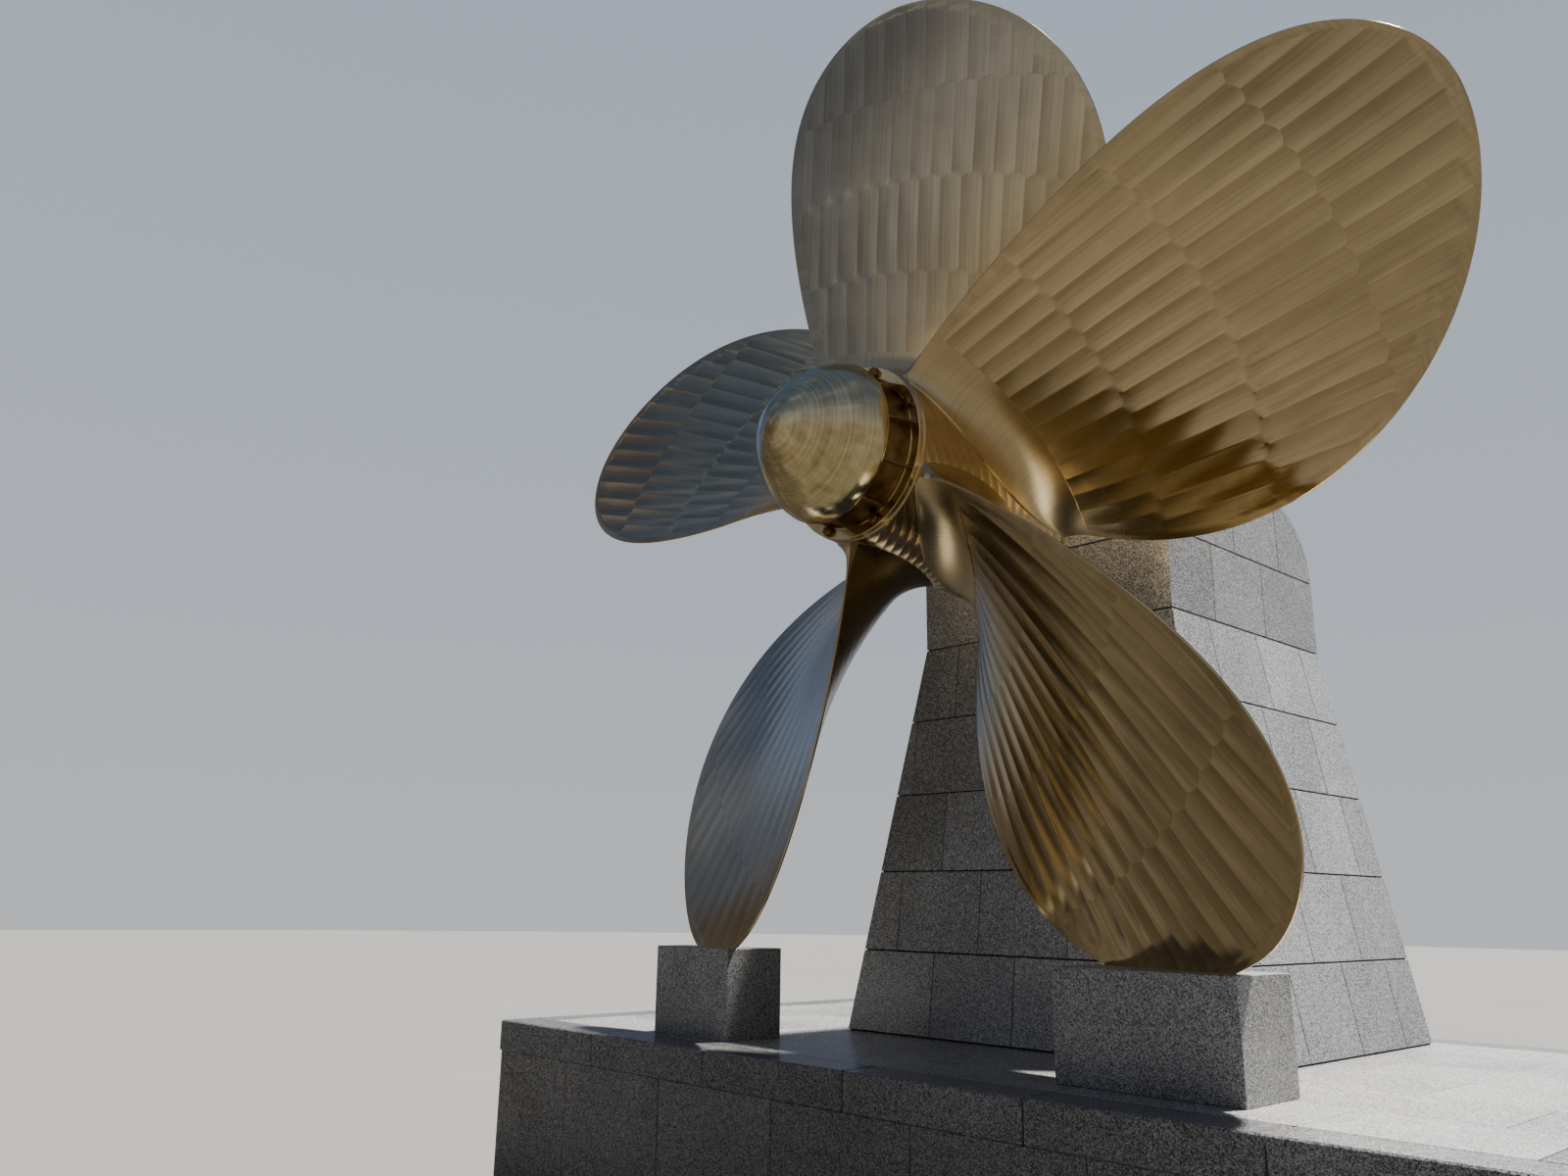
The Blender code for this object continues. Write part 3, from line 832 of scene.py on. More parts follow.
def smoothed(piece, angle):
    pick(piece)
    bpy.ops.object.shade_smooth_by_angle(angle=math.radians(angle))


def bronze_finish(name, bright, dark, polish, forward_shade=None):
    """Milled and polished bronze: streaks along the cutter's strips, smears of polish and fine scratches.
    A blade has the cutter's strips too, each with a painted shade from dark on one side to light on the
    other and a random tone of its own, a duller root, and a forward face whose colour forward_shade
    scales down: a painted shade that stands in for the dark reflections it shows of the shaded pedestal and
    hub."""
    milled_blade = forward_shade is not None
    bronze = Finish(name, {"Metallic": 1.0, "Specular IOR Level": 0.5})
    pattern = bronze.place
    if milled_blade:
        pattern = bronze.node("ShaderNodeUVMap", {"uv_map": "milling"}, output="UV")
    streaks = bronze.noise(scale=1.0, detail=4.0, vector=pattern, stretch=(9.0, 1.1, 9.0))
    scratches = bronze.noise(scale=1.0, detail=2.0, vector=pattern, stretch=(70.0, 3.0, 70.0))
    smears = bronze.noise(scale=1.6, detail=5.0)
    patina = bronze.noise(scale=6.0, detail=6.0)
    tone = (streaks - 0.5) * STREAK_TONE + (smears - 0.5) * SMEAR_TONE + (patina - 0.5) * PATINA_TONE + 0.5
    if milled_blade:
        cutter = bronze.node("ShaderNodeUVMap", {"uv_map": "cutter"}, output="UV")
        across = bronze.node("ShaderNodeSeparateXYZ", {}, {"Vector": cutter}, "X")
        left = bronze.node("ShaderNodeSeparateXYZ", {}, {"Vector": cutter}, "Y")
        strip = bronze.node("ShaderNodeSeparateXYZ", {}, {"Vector": pattern}, "X")
        strip = bronze.node("ShaderNodeMath", {"operation": "FLOOR"}, {0: strip})
        chance = bronze.node("ShaderNodeTexWhiteNoise", {"noise_dimensions": "1D"}, {"W": strip}, "Value")
        # Painted shade: each strip darker on one side, lighter on the other, as light falls across its hollow
        tone = tone + left * ((across - 0.5) * STRIP_PAINTED_SHADE + (chance - 0.5) * STRIP_TONE)
    colour = bronze.ramp(tone, [(DARK_STOP, dark), (BRIGHT_STOP, bright)])
    # Painted shade: the forward face's colour is scaled down for the dark reflections it shows
    if milled_blade:
        is_forward = {0: strip, 1: FORWARD_STRIPS / 2.0}
        forward = bronze.node("ShaderNodeMath", {"operation": "GREATER_THAN"}, is_forward)
        painted_dark, painted_bright = (tuple(forward_shade * part for part in shade) for shade in (dark, bright))
        painted_shade_colour = bronze.ramp(tone, [(DARK_STOP, painted_dark), (BRIGHT_STOP, painted_bright)])
        colour = bronze.mixed(forward, colour, painted_shade_colour)
    bronze.set("Base Color", colour)
    rough = polish + SMEAR_ROUGHNESS * (smears - 0.3) + SCRATCH_ROUGHNESS * scratches
    if milled_blade:
        radius = bronze.node("ShaderNodeSeparateXYZ", {}, {"Vector": pattern}, "Y")
        near_root = {"Value": radius, "From Min": ROOT_ROUGH_BELOW, "From Max": ROOT_ROUGHEST}
        rough = rough + ROOT_ROUGHNESS * bronze.node("ShaderNodeMapRange", {}, near_root)
    bronze.set("Roughness", rough)
    bronze.bump(scratches, depth=0.00012)
    return bronze


def hub_line(turn, share_round):
    """The hub's outline at a turn, from the middle of its aft end to the end of its bore. The scallops run
    round the cone as a screw of many starts, and are cut off level at both ends."""
    aft_limit = HUB_AFT_Y + HUB_EDGE
    forward_limit = HUB_FORWARD_Y - HUB_EDGE
    bore_end = HUB_FORWARD_Y - BORE_DEPTH
    line = [
        around_axis(POLE_RADIUS, turn, HUB_AFT_Y),
        around_axis(HUB_AFT_RADIUS - HUB_EDGE, turn, HUB_AFT_Y),
    ]
    last_scallop = int((HUB_FORWARD_Y - HUB_AFT_Y) / SCALLOP_PITCH_Y) + 2
    for scallop in range(-SCALLOP_STARTS - 1, last_scallop):
        for stop in SCALLOP_STOPS:
            y = HUB_AFT_Y + (scallop + stop) * SCALLOP_PITCH_Y
            y += SCALLOP_STARTS * SCALLOP_PITCH_Y * share_round
            y = min(forward_limit, max(aft_limit, y))
            depth = 0.0 if y in (aft_limit, forward_limit) else SCALLOP_DEPTH * hollow(stop)
            line.append(around_axis(hub_radius(y) - depth, turn, y))
    return line + [
        around_axis(HUB_FORWARD_RADIUS - HUB_EDGE, turn, HUB_FORWARD_Y),
        around_axis(BORE_RADIUS + HUB_EDGE, turn, HUB_FORWARD_Y),
        around_axis(BORE_RADIUS, turn, HUB_FORWARD_Y - HUB_EDGE),
        around_axis(BORE_RADIUS, turn, bore_end),
        around_axis(POLE_RADIUS, turn, bore_end),
    ]


hub_bronze = bronze_finish("hub_bronze", bright=(0.76, 0.61, 0.385), dark=(0.50, 0.39, 0.24), polish=0.17)
shares = [column / HUB_COLUMNS for column in range(HUB_COLUMNS)]
lines = [hub_line(2.0 * math.pi * share, share) for share in shares]
hub = from_grid("propeller_hub", [list(ring) for ring in zip(*lines)])
smoothed(hub, angle=12.0)
coat(hub, hub_bronze)
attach(hub, "root")
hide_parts("propeller_casting")

# The five blades: cast with the hub in bronze, their faces milled in four bands of shallow strips that fan
# out towards the leading edge, each band ending in rounded cutter marks, then polished. The edges, the tip
# and the root's hollow are ground smooth.
DIAMETER = 5.800
TIP_RADIUS = 2.900
TOP_RADIUS = 2.8970
ROOT_RADIUS = 0.510
BLADE_LINE_Y = -1.170
CHORD_LAW = (0.222, 0.530, 1.030, -1.131)
SKEW_LAW = (7.9, 8.3, -17.2)
RAKE_LAW = (0.016, 0.047)
PITCH_LAW = (0.955, 0.032, -0.066)
PITCH_REFERENCE = 0.7
TIP_THICKNESS = 0.020
ROOT_THICKNESS = 0.260
THICKNESS_POWER = 1.15
EDGE_THICKNESS = 0.012
SECTION_FULLNESS = 2.4
CAMBER_SHARE = 0.4
ROOT_FILLET = 0.190
FILLET_AT_EDGES = 0.25
ROOT_SECTION_RADIUS = 0.550
ROOT_BEDDING = 0.030
ROOT_BAND = -1
FILLET_ROWS = 26
BAND_ROWS = (12, 14, 14, 36)
LAST_BAND = len(BAND_ROWS) - 1
EDGE_BAND = 0.056
EDGE_BAND_MOST = 0.3
BAND_RAMP = 0.022
BAND_RAMP_MOST = 0.3
EDGE_FADE = 0.120
EDGE_SHARE = 0.40
FORWARD_SHARE = 0.55
TIP_BAND = 0.050
TIP_CLOSED = 0.9995
EDGE_ROUND = ((0.0, 0.0), (0.0012, 0.6), (0.0048, 1.0))
EDGE_ROUND_MOST = 0.4
STRIP_STOPS = (0.0, 0.05, 0.14, 0.25, 0.36, 0.45, 0.50, 0.55, 0.64, 0.75, 0.86, 0.95)
STRIPS_TO_TRAILING = 12
STRIPS_TO_LEADING = 9
STRIP_PITCH = 0.102
STRIP_PITCH_GROWTH = 0.0125
STRIP_END_STEP = 0.002
LEAN_START = 1.2
LEAN = 0.12
LEAN_POWER = 2.2
TROUGH_DEPTHS = (0.0040, 0.0040, 0.0038, 0.0036)
SAW_DEPTH = 0.0015
TILT_DEPTH = 0.0012
END_STEP = 0.0008
END_ROUND = 0.025
TONE_STAGGER = 0.5
SMOOTH = (0.5, 0.0)
BLADE_BRIGHT = (0.85, 0.70, 0.45)
BLADE_DARK = (0.57, 0.455, 0.285)
BLADE_POLISH = 0.075

# A blade's angle is clockwise from straight up. Of the cutter's depth, wear is what the polish has left, and
# tip_share is the part of it that is left at the tip. stagger is how far every other band is shifted, in
# strips, and is 0 on the lower blades, where the strips run on from band to band and only their tone shifts.
# forward_shade is how much of its colour the forward face keeps, a painted shade that stands in for
# the dark reflections it shows, and band_starts are the bands' inner radii.
Blade = namedtuple("Blade", "name angle wear tip_share stagger forward_shade band_starts")
BLADES = (
    Blade("blade_up", 0.0, 0.62, 0.75, 0.5, 0.90, (0.690, 1.140, 1.700, 2.270)),
    Blade("blade_upper_right", 72.0, 0.85, 0.12, 0.5, 0.90, (0.690, 1.130, 1.700, 2.280)),
    Blade("blade_lower_right", 144.0, 0.90, 0.30, 0.0, 0.78, (0.655, 1.120, 1.620, 2.270)),
    Blade("blade_lower_left", 216.0, 0.42, 0.40, 0.0, 0.36, (0.690, 1.140, 1.680, 2.260)),
    Blade("blade_left", 288.0, 1.10, 0.80, 0.5, 0.90, (0.690, 1.140, 1.620, 2.230)),
)


def blade_section(radius):
    """Chord, skew, aft rake, pitch angle and thickness of a blade at this radius."""
    share = radius / TIP_RADIUS
    spread = (radius - ROOT_RADIUS) / (TOP_RADIUS - ROOT_RADIUS)
    station = math.asin(min(1.0, max(0.0, spread))) * 2.0 / math.pi
    law = sum(factor * station**power for power, factor in enumerate(CHORD_LAW))
    chord = DIAMETER * (1.0 - station) * law
    skew = math.radians(sum(factor * share**power for power, factor in enumerate(SKEW_LAW)))
    rake = TIP_RADIUS * (RAKE_LAW[0] * share + RAKE_LAW[1] * share**2)
    offset = share - PITCH_REFERENCE
    pitch = DIAMETER * sum(factor * offset**power for power, factor in enumerate(PITCH_LAW))
    pitch_angle = math.atan2(pitch, 2.0 * math.pi * radius)
    thickness = TIP_THICKNESS + (ROOT_THICKNESS - TIP_THICKNESS) * max(0.0, 1.0 - share) ** THICKNESS_POWER
    return chord, skew, rake, pitch_angle, thickness


def blade_point(section, radius, along, side, angle, cut, body):
    """A point of a blade's skin, along metres from mid-chord towards the leading edge. side is 1 on the aft
    face and -1 on the forward one, cut is how deep the cutter went, and body shrinks the rounded edge."""
    chord, skew, rake, pitch_angle, thickness = section
    place = max(-1.0, min(1.0, along / max(chord / 2.0, 0.0001)))
    bulge = 1.0 - abs(place) ** SECTION_FULLNESS
    half = (EDGE_THICKNESS + (thickness - EDGE_THICKNESS) * bulge) / 2.0
    y = BLADE_LINE_Y - rake + along * math.sin(pitch_angle)
    above_hub = min(1.0, max(0.0, (radius - hub_radius(y)) / ROOT_FILLET))
    fillet = ROOT_FILLET * (1.0 - math.sqrt(1.0 - (1.0 - above_hub) ** 2))
    half += fillet * (FILLET_AT_EDGES + (1.0 - FILLET_AT_EDGES) * (1.0 - place**2))
    camber = CAMBER_SHARE * thickness * (1.0 - place**2)
    out = side * (half * body - cut) - camber
    round_axis = along * math.cos(pitch_angle) + out * math.sin(pitch_angle)
    y -= out * math.cos(pitch_angle)
    y = min(HUB_FORWARD_Y - HUB_EDGE, max(HUB_AFT_Y + HUB_EDGE, y))
    return around_axis(radius, math.radians(angle) + skew + round_axis / radius, y)


def strip_grid(radius):
    """The width of the strips at this radius, and how far they lean towards the leading edge, in metres."""
    pitch = STRIP_PITCH + STRIP_PITCH_GROWTH * (radius - ROOT_RADIUS)
    lean = LEAN * max(0.0, radius - LEAN_START) ** LEAN_POWER
    return pitch, lean


def strip_line(strip, radius):
    """Where a strip's line, counted from mid-chord, lies at this radius, in metres from mid-chord."""
    pitch, lean = strip_grid(radius)
    return strip * pitch + lean


def strip_at(along, radius):
    """The strip, with its fraction, that a place lies on: strip_line the other way round."""
    pitch, lean = strip_grid(radius)
    return (along - lean) / pitch


def within_strip(strip, band, stagger):
    """How far across its strip a line lies, from 0 to 1. Every other band is shifted by stagger strips."""
    shifted = strip + stagger * (band % 2)
    return shifted - math.floor(shifted)


def band_limits(chord):
    """The milled part of a section: what the smooth bands along the edges leave."""
    reach = chord / 2.0 - min(EDGE_BAND, EDGE_BAND_MOST * chord)
    return -reach, reach


def smooth_band(chord, limit, width):
    """Places over the leading edge's smooth band, from the milled part's limit outwards: metres from
    mid-chord, and how much of the section's thickness the rounding leaves."""
    places = [(limit + min(BAND_RAMP, width * BAND_RAMP_MOST), 1.0), (limit + width / 2.0, 1.0)]
    for inset, body in reversed(EDGE_ROUND):
        places.append((chord / 2.0 - min(inset, width * EDGE_ROUND_MOST), body))
    return places


def root_radius(strip, share, start):
    """The radius of a row in the root's hollow. The rows follow the hub's cone and close up towards it, and
    the first one, whose share is below 0, lies in the hub."""
    chord, skew, rake, pitch_angle, thickness = blade_section(ROOT_SECTION_RADIUS)
    low, high = band_limits(chord)
    along = min(high, max(low, strip_line(strip, ROOT_SECTION_RADIUS)))
    y = BLADE_LINE_Y - rake + along * math.sin(pitch_angle)
    surface = hub_radius(min(HUB_FORWARD_Y, max(HUB_AFT_Y, y)))
    if share < 0.0:
        return surface - ROOT_BEDDING
    return surface + (start - surface) * (1.0 - math.cos(share * math.pi / 2.0))


def row_radius(blade, band, share, strip):
    """The radius of a row of points on a strip, this share of the way through its band. The rows run between
    the rounded ends of the bands, and in the last band they close up towards the tip."""
    if band == ROOT_BAND:
        return root_radius(strip, share, blade.band_starts[0])
    start = blade.band_starts[band]
    if band > 0:
        start += END_ROUND * hollow(within_strip(strip, band - 1, blade.stagger))
    if band == LAST_BAND:
        start_station = math.asin((start - ROOT_RADIUS) / (TOP_RADIUS - ROOT_RADIUS))
        station = start_station + (math.pi / 2.0 - start_station) * share * TIP_CLOSED
        return ROOT_RADIUS + (TOP_RADIUS - ROOT_RADIUS) * math.sin(station)
    end = blade.band_starts[band + 1] + END_ROUND * hollow(within_strip(strip, band, blade.stagger))
    ramp = BAND_RAMP * (1.0 - share) if band > 0 else 0.0
    return start + (end - start) * share + ramp


def strip_ends(blade):
    """The radius at which each strip of the last band runs out into the leading edge's smooth band."""
    ends = {}
    for number in range(-STRIPS_TO_TRAILING - 1, STRIPS_TO_LEADING + 1):
        line = number + 1.0 - blade.stagger * (LAST_BAND % 2)
        radius = LEAN_START
        while radius < TOP_RADIUS - TIP_BAND:
            if strip_line(line, radius) > band_limits(blade_section(radius)[0])[1]:
                break
            radius += STRIP_END_STEP
        ends[number] = radius
    return ends


def cutter_mark(blade, band, share, strip, radius, inset, tilts, ends):
    """How deep the cut is at a place, this far in from the smooth bands, and the mark that it leaves: how far
    across its strip the place lies, and how much of the cut is left."""
    if band == ROOT_BAND or radius >= TOP_RADIUS - TIP_BAND:
        return 0.0, SMOOTH
    number = math.floor(strip + blade.stagger * (band % 2))
    if band == LAST_BAND and radius >= ends[number]:
        return 0.0, SMOOTH
    across = within_strip(strip, band, blade.stagger)
    tilt = tilts[band if blade.stagger else 0][number]
    cut = TROUGH_DEPTHS[band] * hollow(across)
    cut += SAW_DEPTH * (1.0 - across) + tilt * across
    if blade.stagger and band < LAST_BAND:
        cut += END_STEP * share
    left = blade.wear
    if band == LAST_BAND:
        left *= 1.0 - (1.0 - blade.tip_share) * share
    cut *= left * (EDGE_SHARE + (1.0 - EDGE_SHARE) * min(1.0, inset / EDGE_FADE))
    return cut, (within_strip(strip, band, TONE_STAGGER), left)


def make_blade(blade):
    """A blade skinned over rings of points, one ring round the section for each row from the root to the
    tip: over the aft face from the trailing to the leading edge, and back over the forward face."""
    columns = [
        strip + stop
        for strip in range(-STRIPS_TO_TRAILING, STRIPS_TO_LEADING)
        for stop in STRIP_STOPS
    ]
    numbers = range(-STRIPS_TO_TRAILING - 1, STRIPS_TO_LEADING + 2)
    tilts = [{number: luck.uniform(0.0, TILT_DEPTH) for number in numbers} for band in BAND_ROWS]
    ends = strip_ends(blade)
    rows = [(ROOT_BAND, row / FILLET_ROWS) for row in range(-1, FILLET_ROWS + 1)]
    for band, count in enumerate(BAND_ROWS):
        rows += [(band, row / count) for row in range(count + 1)]
    rings = []
    marks = []
    for band, share in rows:
        plain = row_radius(blade, band, share, 0.0)
        low, high = band_limits(blade_section(plain)[0])
        strip_low = strip_at(low, plain)
        strip_high = strip_at(high, plain)

        edge_radius = row_radius(blade, band, share, strip_low)
        chord = blade_section(edge_radius)[0]
        low, high = band_limits(chord)
        width = low + chord / 2.0
        trailing = [(-along, body) for along, body in reversed(smooth_band(chord, -low, width))]
        places = [(along, edge_radius, 0.0, body, strip_low, SMOOTH) for along, body in trailing]

        for column in columns:
            strip = min(strip_high, max(strip_low, column))
            radius = row_radius(blade, band, share, strip)
            low, high = band_limits(blade_section(radius)[0])
            along = min(high, max(low, strip_line(strip, radius)))
            inset = min(along - low, high - along)
            cut, mark = cutter_mark(blade, band, share, strip, radius, inset, tilts, ends)
            places.append((along, radius, cut, 1.0, strip, mark))

        edge_radius = row_radius(blade, band, share, strip_high)
        chord = blade_section(edge_radius)[0]
        leading = smooth_band(chord, band_limits(chord)[1], width)
        places += [(along, edge_radius, 0.0, body, strip_high, SMOOTH) for along, body in leading]

        shift = TONE_STAGGER * (band % 2)
        aft, fore = [], []
        aft_marks, fore_marks = [], []
        for along, radius, cut, body, strip, mark in places:
            section = blade_section(radius)
            aft.append(blade_point(section, radius, along, 1, blade.angle, cut, body))
            fore.append(blade_point(section, radius, along, -1, blade.angle, cut * FORWARD_SHARE, body))
            aft_marks.append((strip + shift, radius, *mark))
            fore_marks.append((strip + shift + FORWARD_STRIPS, radius, *mark))
        rings.append(aft + fore[::-1])
        marks.append(aft_marks + fore_marks[::-1])
    return from_grid(blade.name, rings, marks)


for blade in BLADES:
    bronze_name = f"{blade.name}_bronze"
    blade_bronze = bronze_finish(bronze_name, BLADE_BRIGHT, BLADE_DARK, BLADE_POLISH, blade.forward_shade)
    piece = make_blade(blade)
    smoothed(piece, angle=9.0)
    coat(piece, blade_bronze)
    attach(piece, "root")
    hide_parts("propeller_casting")

# The boss cap: an egg-shaped bronze dome on a recessed waist with thin ribs across it, cast in one with the
# flange that is bolted to the hub. The dome is turned and brushed, and the waist is left dark.
CAP_DOME_LENGTH = 0.385
CAP_DOME_RADIUS = 0.400
CAP_DOME_FULLNESS = 1.6
CAP_DOME_STEPS = 40
CAP_WAIST_RADIUS = 0.372
CAP_WAIST_FOOT = 0.008
CAP_WAIST_END = 0.195
CAP_FLANGE_LENGTH = 0.030
CAP_FLANGE_RADIUS = 0.441
CAP_LIP = 0.014
CAP_INSET = 0.004
CAP_TURN_STEPS = 128
DOME_TURN_STEPS = 366
DOME_FACETS = ((61, 0.00016, 0.0), (37, 0.00018, 1.0))
RIB_ANGLES = (55.0, 85.0, 115.0, 145.0, 175.0)
RIB_INNER_RADIUS = 0.344
RIB_OUTER_RADIUS = 0.398
RIB_FLARE = 0.036
RIB_INTO_FLANGE = 0.006
RIB_THICKNESS = 0.012
RIB_ARRIS = 0.0025
DOME_DARK = (0.56, 0.445, 0.25)
DOME_BRIGHT = (1.00, 0.875, 0.58)
DOME_BAND_TONE = 0.9
DOME_BRUSHING_TONE = 1.25
DOME_CLOUD_TONE = 0.5
WAIST_DARK = (0.24, 0.156, 0.072)
WAIST_BRIGHT = (0.48, 0.335, 0.18)


def turned(name, profile, steps):
    """Spins a profile of (radius, distance aft of the hub) round the propeller's axis, and closes it."""
    mesh = bpy.data.meshes.new(name)
    points = [(radius, HUB_AFT_Y - aft, AXIS_Z) for radius, aft in profile]
    mesh.from_pydata(points, [(step, step + 1) for step in range(len(points) - 1)], [])
    piece = bpy.data.objects.new(name, mesh)
    bpy.context.collection.objects.link(piece)
    edit(piece)
    bpy.ops.mesh.select_all(action="SELECT")
    bpy.ops.mesh.spin(steps=steps, angle=2.0 * math.pi, center=AXIS, axis=(0.0, 1.0, 0.0))
    bpy.ops.mesh.select_all(action="SELECT")
    bpy.ops.mesh.remove_doubles(threshold=LOOSE_EDGES)
    bpy.ops.mesh.normals_make_consistent(inside=False)
    done()
    return piece


def dome_profile():
    """The dome's outline from its nose back to the lip, and its closed forward side."""
    outline = [(0.0, CAP_WAIST_END + CAP_DOME_LENGTH)]
    for step in range(1, CAP_DOME_STEPS):
        turn = math.pi / 2.0 * step / CAP_DOME_STEPS
        ahead = math.cos(turn) ** (2.0 / CAP_DOME_FULLNESS)
        radius = CAP_DOME_RADIUS * (1.0 - ahead**CAP_DOME_FULLNESS) ** (1.0 / CAP_DOME_FULLNESS)
        outline.append((radius, CAP_WAIST_END + CAP_DOME_LENGTH * ahead))
    return outline + [
        (CAP_DOME_RADIUS, CAP_WAIST_END + CAP_LIP),
        (CAP_DOME_RADIUS - 0.0005, CAP_WAIST_END + 0.003),
        (CAP_DOME_RADIUS - 0.003, CAP_WAIST_END),
        (CAP_WAIST_RADIUS - 0.02, CAP_WAIST_END),
        (0.0, CAP_WAIST_END),
    ]


def grind_flats(dome):
    """Gives the dome the faint flats that grinding by hand leaves, fading out at its nose and its rim. Each
    row of DOME_FACETS is how many go round, how deep they are, and where they start, in radians."""
    for vertex in dome.data.vertices:
        out = vertex.co - AXIS
        radius = math.hypot(out.x, out.z)
        if radius < POLE_RADIUS / 2.0:
            continue
        turn = math.atan2(out.x, out.z)
        flat = sum(depth * (1.0 + math.cos(count * turn + start)) for count, depth, start in DOME_FACETS)
        out_share = min(1.0, radius / CAP_DOME_RADIUS)
        ground = 1.0 - flat * out_share**2 * (1.0 - out_share**8) / radius
        vertex.co = (out.x * ground, vertex.co.y, AXIS_Z + out.z * ground)


brushed_bronze = Finish("brushed_cap_bronze", {"Metallic": 1.0, "Specular IOR Level": 0.5})
brushing = brushed_bronze.noise(scale=1.0, stretch=(2.0, 190.0, 2.0))
bands = brushed_bronze.noise(scale=1.0, stretch=(14.0, 1.5, 14.0))
cloud = brushed_bronze.noise(scale=3.5, detail=4.0)
tone = (bands - 0.5) * DOME_BAND_TONE + (brushing - 0.5) * DOME_BRUSHING_TONE
tone = tone + (cloud - 0.5) * DOME_CLOUD_TONE + 0.5
brushed_bronze.set("Base Color", brushed_bronze.ramp(tone, [(0.1, DOME_DARK), (0.9, DOME_BRIGHT)]))
brushed_bronze.set("Roughness", 0.10 + 0.14 * brushing)
brushed_bronze.bump(brushing, depth=0.00020)

dark_bronze = Finish("dark_waist_bronze", {"Metallic": 1.0, "Specular IOR Level": 0.5})
grime = dark_bronze.noise(scale=14.0, detail=6.0)
pits = dark_bronze.noise(scale=45.0)
dark_bronze.set("Base Color", dark_bronze.ramp(grime, [(0.3, WAIST_DARK), (0.7, WAIST_BRIGHT)]))
dark_bronze.set("Roughness", 0.34 + 0.25 * grime)
dark_bronze.bump(pits, depth=0.0008)

dome = turned("boss_cap_dome", dome_profile(), DOME_TURN_STEPS)
grind_flats(dome)
smoothed(dome, angle=30.0)
coat(dome, brushed_bronze)

waist = turned("boss_cap_waist", [
    (0.0, CAP_WAIST_END + CAP_INSET),
    (CAP_WAIST_RADIUS, CAP_WAIST_END + CAP_INSET),
    (CAP_WAIST_RADIUS, 0.050),
    (CAP_WAIST_RADIUS + 0.002, 0.038),
    (CAP_WAIST_RADIUS + CAP_WAIST_FOOT, CAP_FLANGE_LENGTH),
    (CAP_WAIST_RADIUS + CAP_WAIST_FOOT, 0.020),
    (0.0, 0.020),
], CAP_TURN_STEPS)
smoothed(waist, angle=30.0)
coat(waist, dark_bronze)

# The flange's outline runs out over its seat, round its rim with a fine groove, and in over a raised bead
flange = turned("boss_cap_flange", [
    (0.0, 0.0010),
    (0.4330, 0.0010),
    (CAP_FLANGE_RADIUS, 0.0020),
    (CAP_FLANGE_RADIUS, 0.0110),
    (CAP_FLANGE_RADIUS - 0.004, 0.0125),
    (CAP_FLANGE_RADIUS - 0.004, 0.0145),
    (CAP_FLANGE_RADIUS, 0.0160),
    (CAP_FLANGE_RADIUS, 0.0270),
    (CAP_FLANGE_RADIUS - 0.003, CAP_FLANGE_LENGTH),
    (0.3920, CAP_FLANGE_LENGTH),
    (0.3905, CAP_FLANGE_LENGTH + 0.006),
    (0.3850, CAP_FLANGE_LENGTH + 0.007),
    (0.3790, CAP_FLANGE_LENGTH + 0.001),
    (0.3700, CAP_FLANGE_LENGTH),
    (0.0, CAP_FLANGE_LENGTH),
], CAP_TURN_STEPS)
smoothed(flange, angle=30.0)
coat(flange, brushed_bronze)

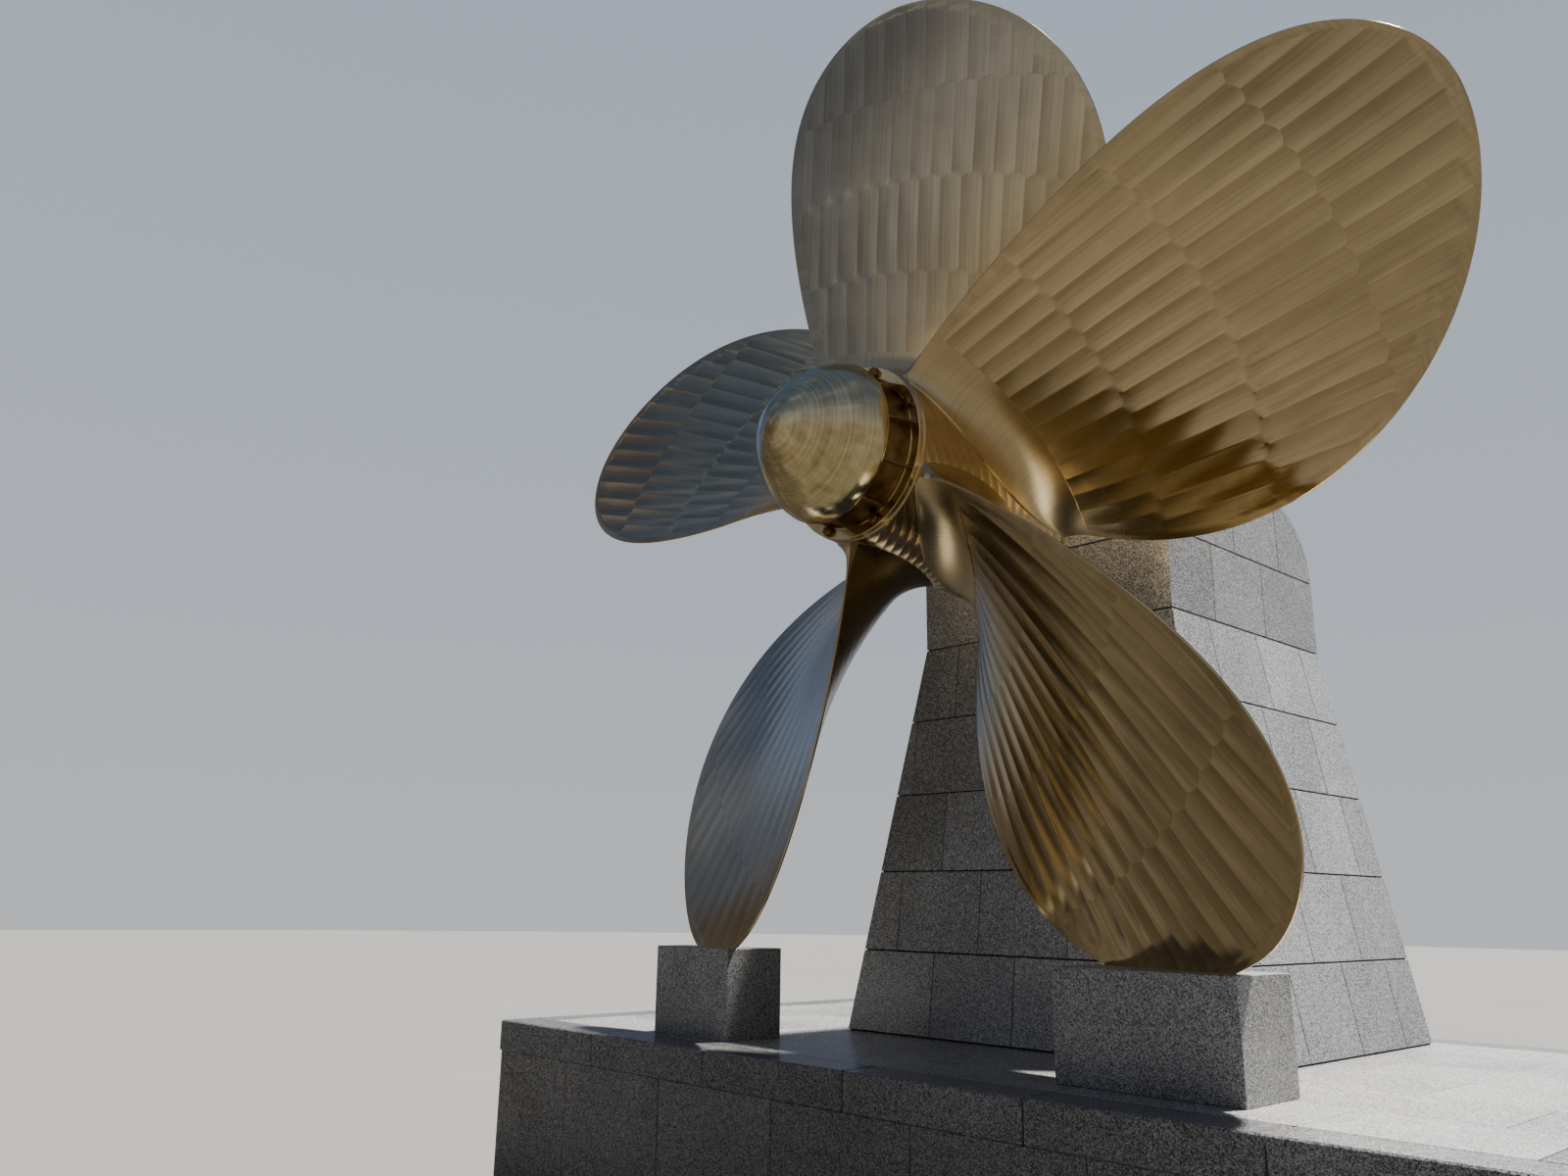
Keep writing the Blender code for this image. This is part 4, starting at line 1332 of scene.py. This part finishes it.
rib_aft = HUB_AFT_Y - CAP_WAIST_END - CAP_INSET
rib_forward = HUB_AFT_Y - CAP_FLANGE_LENGTH + RIB_INTO_FLANGE
rib_size = (RIB_THICKNESS, rib_forward - rib_aft, RIB_OUTER_RADIUS - RIB_INNER_RADIUS)
rib_y = (rib_forward + rib_aft) / 2.0
rib_radius = (RIB_OUTER_RADIUS + RIB_INNER_RADIUS) / 2.0
ribs = []
for opposite in (0.0, 180.0):
    for angle in RIB_ANGLES:
        let_go()
        bpy.ops.mesh.primitive_cube_add(size=1.0)
        rib = bpy.context.object
        edit(rib)
        bpy.ops.mesh.select_all(action="SELECT")
        bpy.ops.transform.resize(value=rib_size)
        bpy.ops.transform.translate(value=(0.0, rib_y, rib_radius))
        take(rib, "edges", lambda edge: all(end.co.z > rib_radius and end.co.y > rib_y for end in edge.verts))
        bpy.ops.transform.translate(value=(0.0, 0.0, RIB_FLARE))
        done()
        turn = Matrix.Rotation(math.radians(angle + opposite), 4, "Y")
        rib.data.transform(Matrix.Translation(AXIS) @ turn)
        chamfer(rib, RIB_ARRIS, steps=2)
        ribs.append(rib)
ribs = laid_as_one(ribs, "boss_cap_ribs")
smoothed(ribs, angle=40.0)
coat(ribs, dark_bronze)

for piece in (dome, waist, flange, ribs):
    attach(piece, "root")
    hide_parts("boss_cap")

# The cap's bolts: six hexagon heads with chamfered corners on round washer faces, seated on the flange.
# They are of the same dark bronze as the cap's waist.
BOLT_COUNT = 6
BOLT_FLATS = 0.046
BOLT_CORNERS = BOLT_FLATS / math.sqrt(3.0)
BOLT_SIDES = 6
BOLT_ARRIS = 0.0035
WASHER_RADIUS = 0.0285
WASHER_HEIGHT = 0.004
WASHER_SIDES = 32
WASHER_ARRIS = 0.001

for number in range(1, BOLT_COUNT + 1):
    node = f"cap_bolt_{number}"
    low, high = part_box(node)
    middle = (low + high) / 2.0
    length = high.y - low.y
    turn = math.atan2(middle.x, middle.z - AXIS_Z)
    let_go()
    head_height = length - WASHER_HEIGHT
    bpy.ops.mesh.primitive_cylinder_add(vertices=BOLT_SIDES, radius=BOLT_CORNERS, depth=head_height)
    head = bpy.context.object
    head.data.transform(Matrix.Translation((0.0, 0.0, WASHER_HEIGHT / 2.0)))
    chamfer(head, BOLT_ARRIS, steps=2)
    let_go()
    bpy.ops.mesh.primitive_cylinder_add(vertices=WASHER_SIDES, radius=WASHER_RADIUS, depth=WASHER_HEIGHT)
    washer = bpy.context.object
    washer.data.transform(Matrix.Translation((0.0, 0.0, (WASHER_HEIGHT - length) / 2.0)))
    chamfer(washer, WASHER_ARRIS)
    bolt = laid_as_one([head, washer], f"flange_bolt_{number}")
    lying = Matrix.Rotation(math.pi / 2.0, 4, "X")
    bolt.data.transform(Matrix.Translation(middle) @ Matrix.Rotation(turn, 4, "Y") @ lying)
    smoothed(bolt, angle=30.0)
    coat(bolt, dark_bronze)
    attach(bolt, "root")
    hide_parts(node)
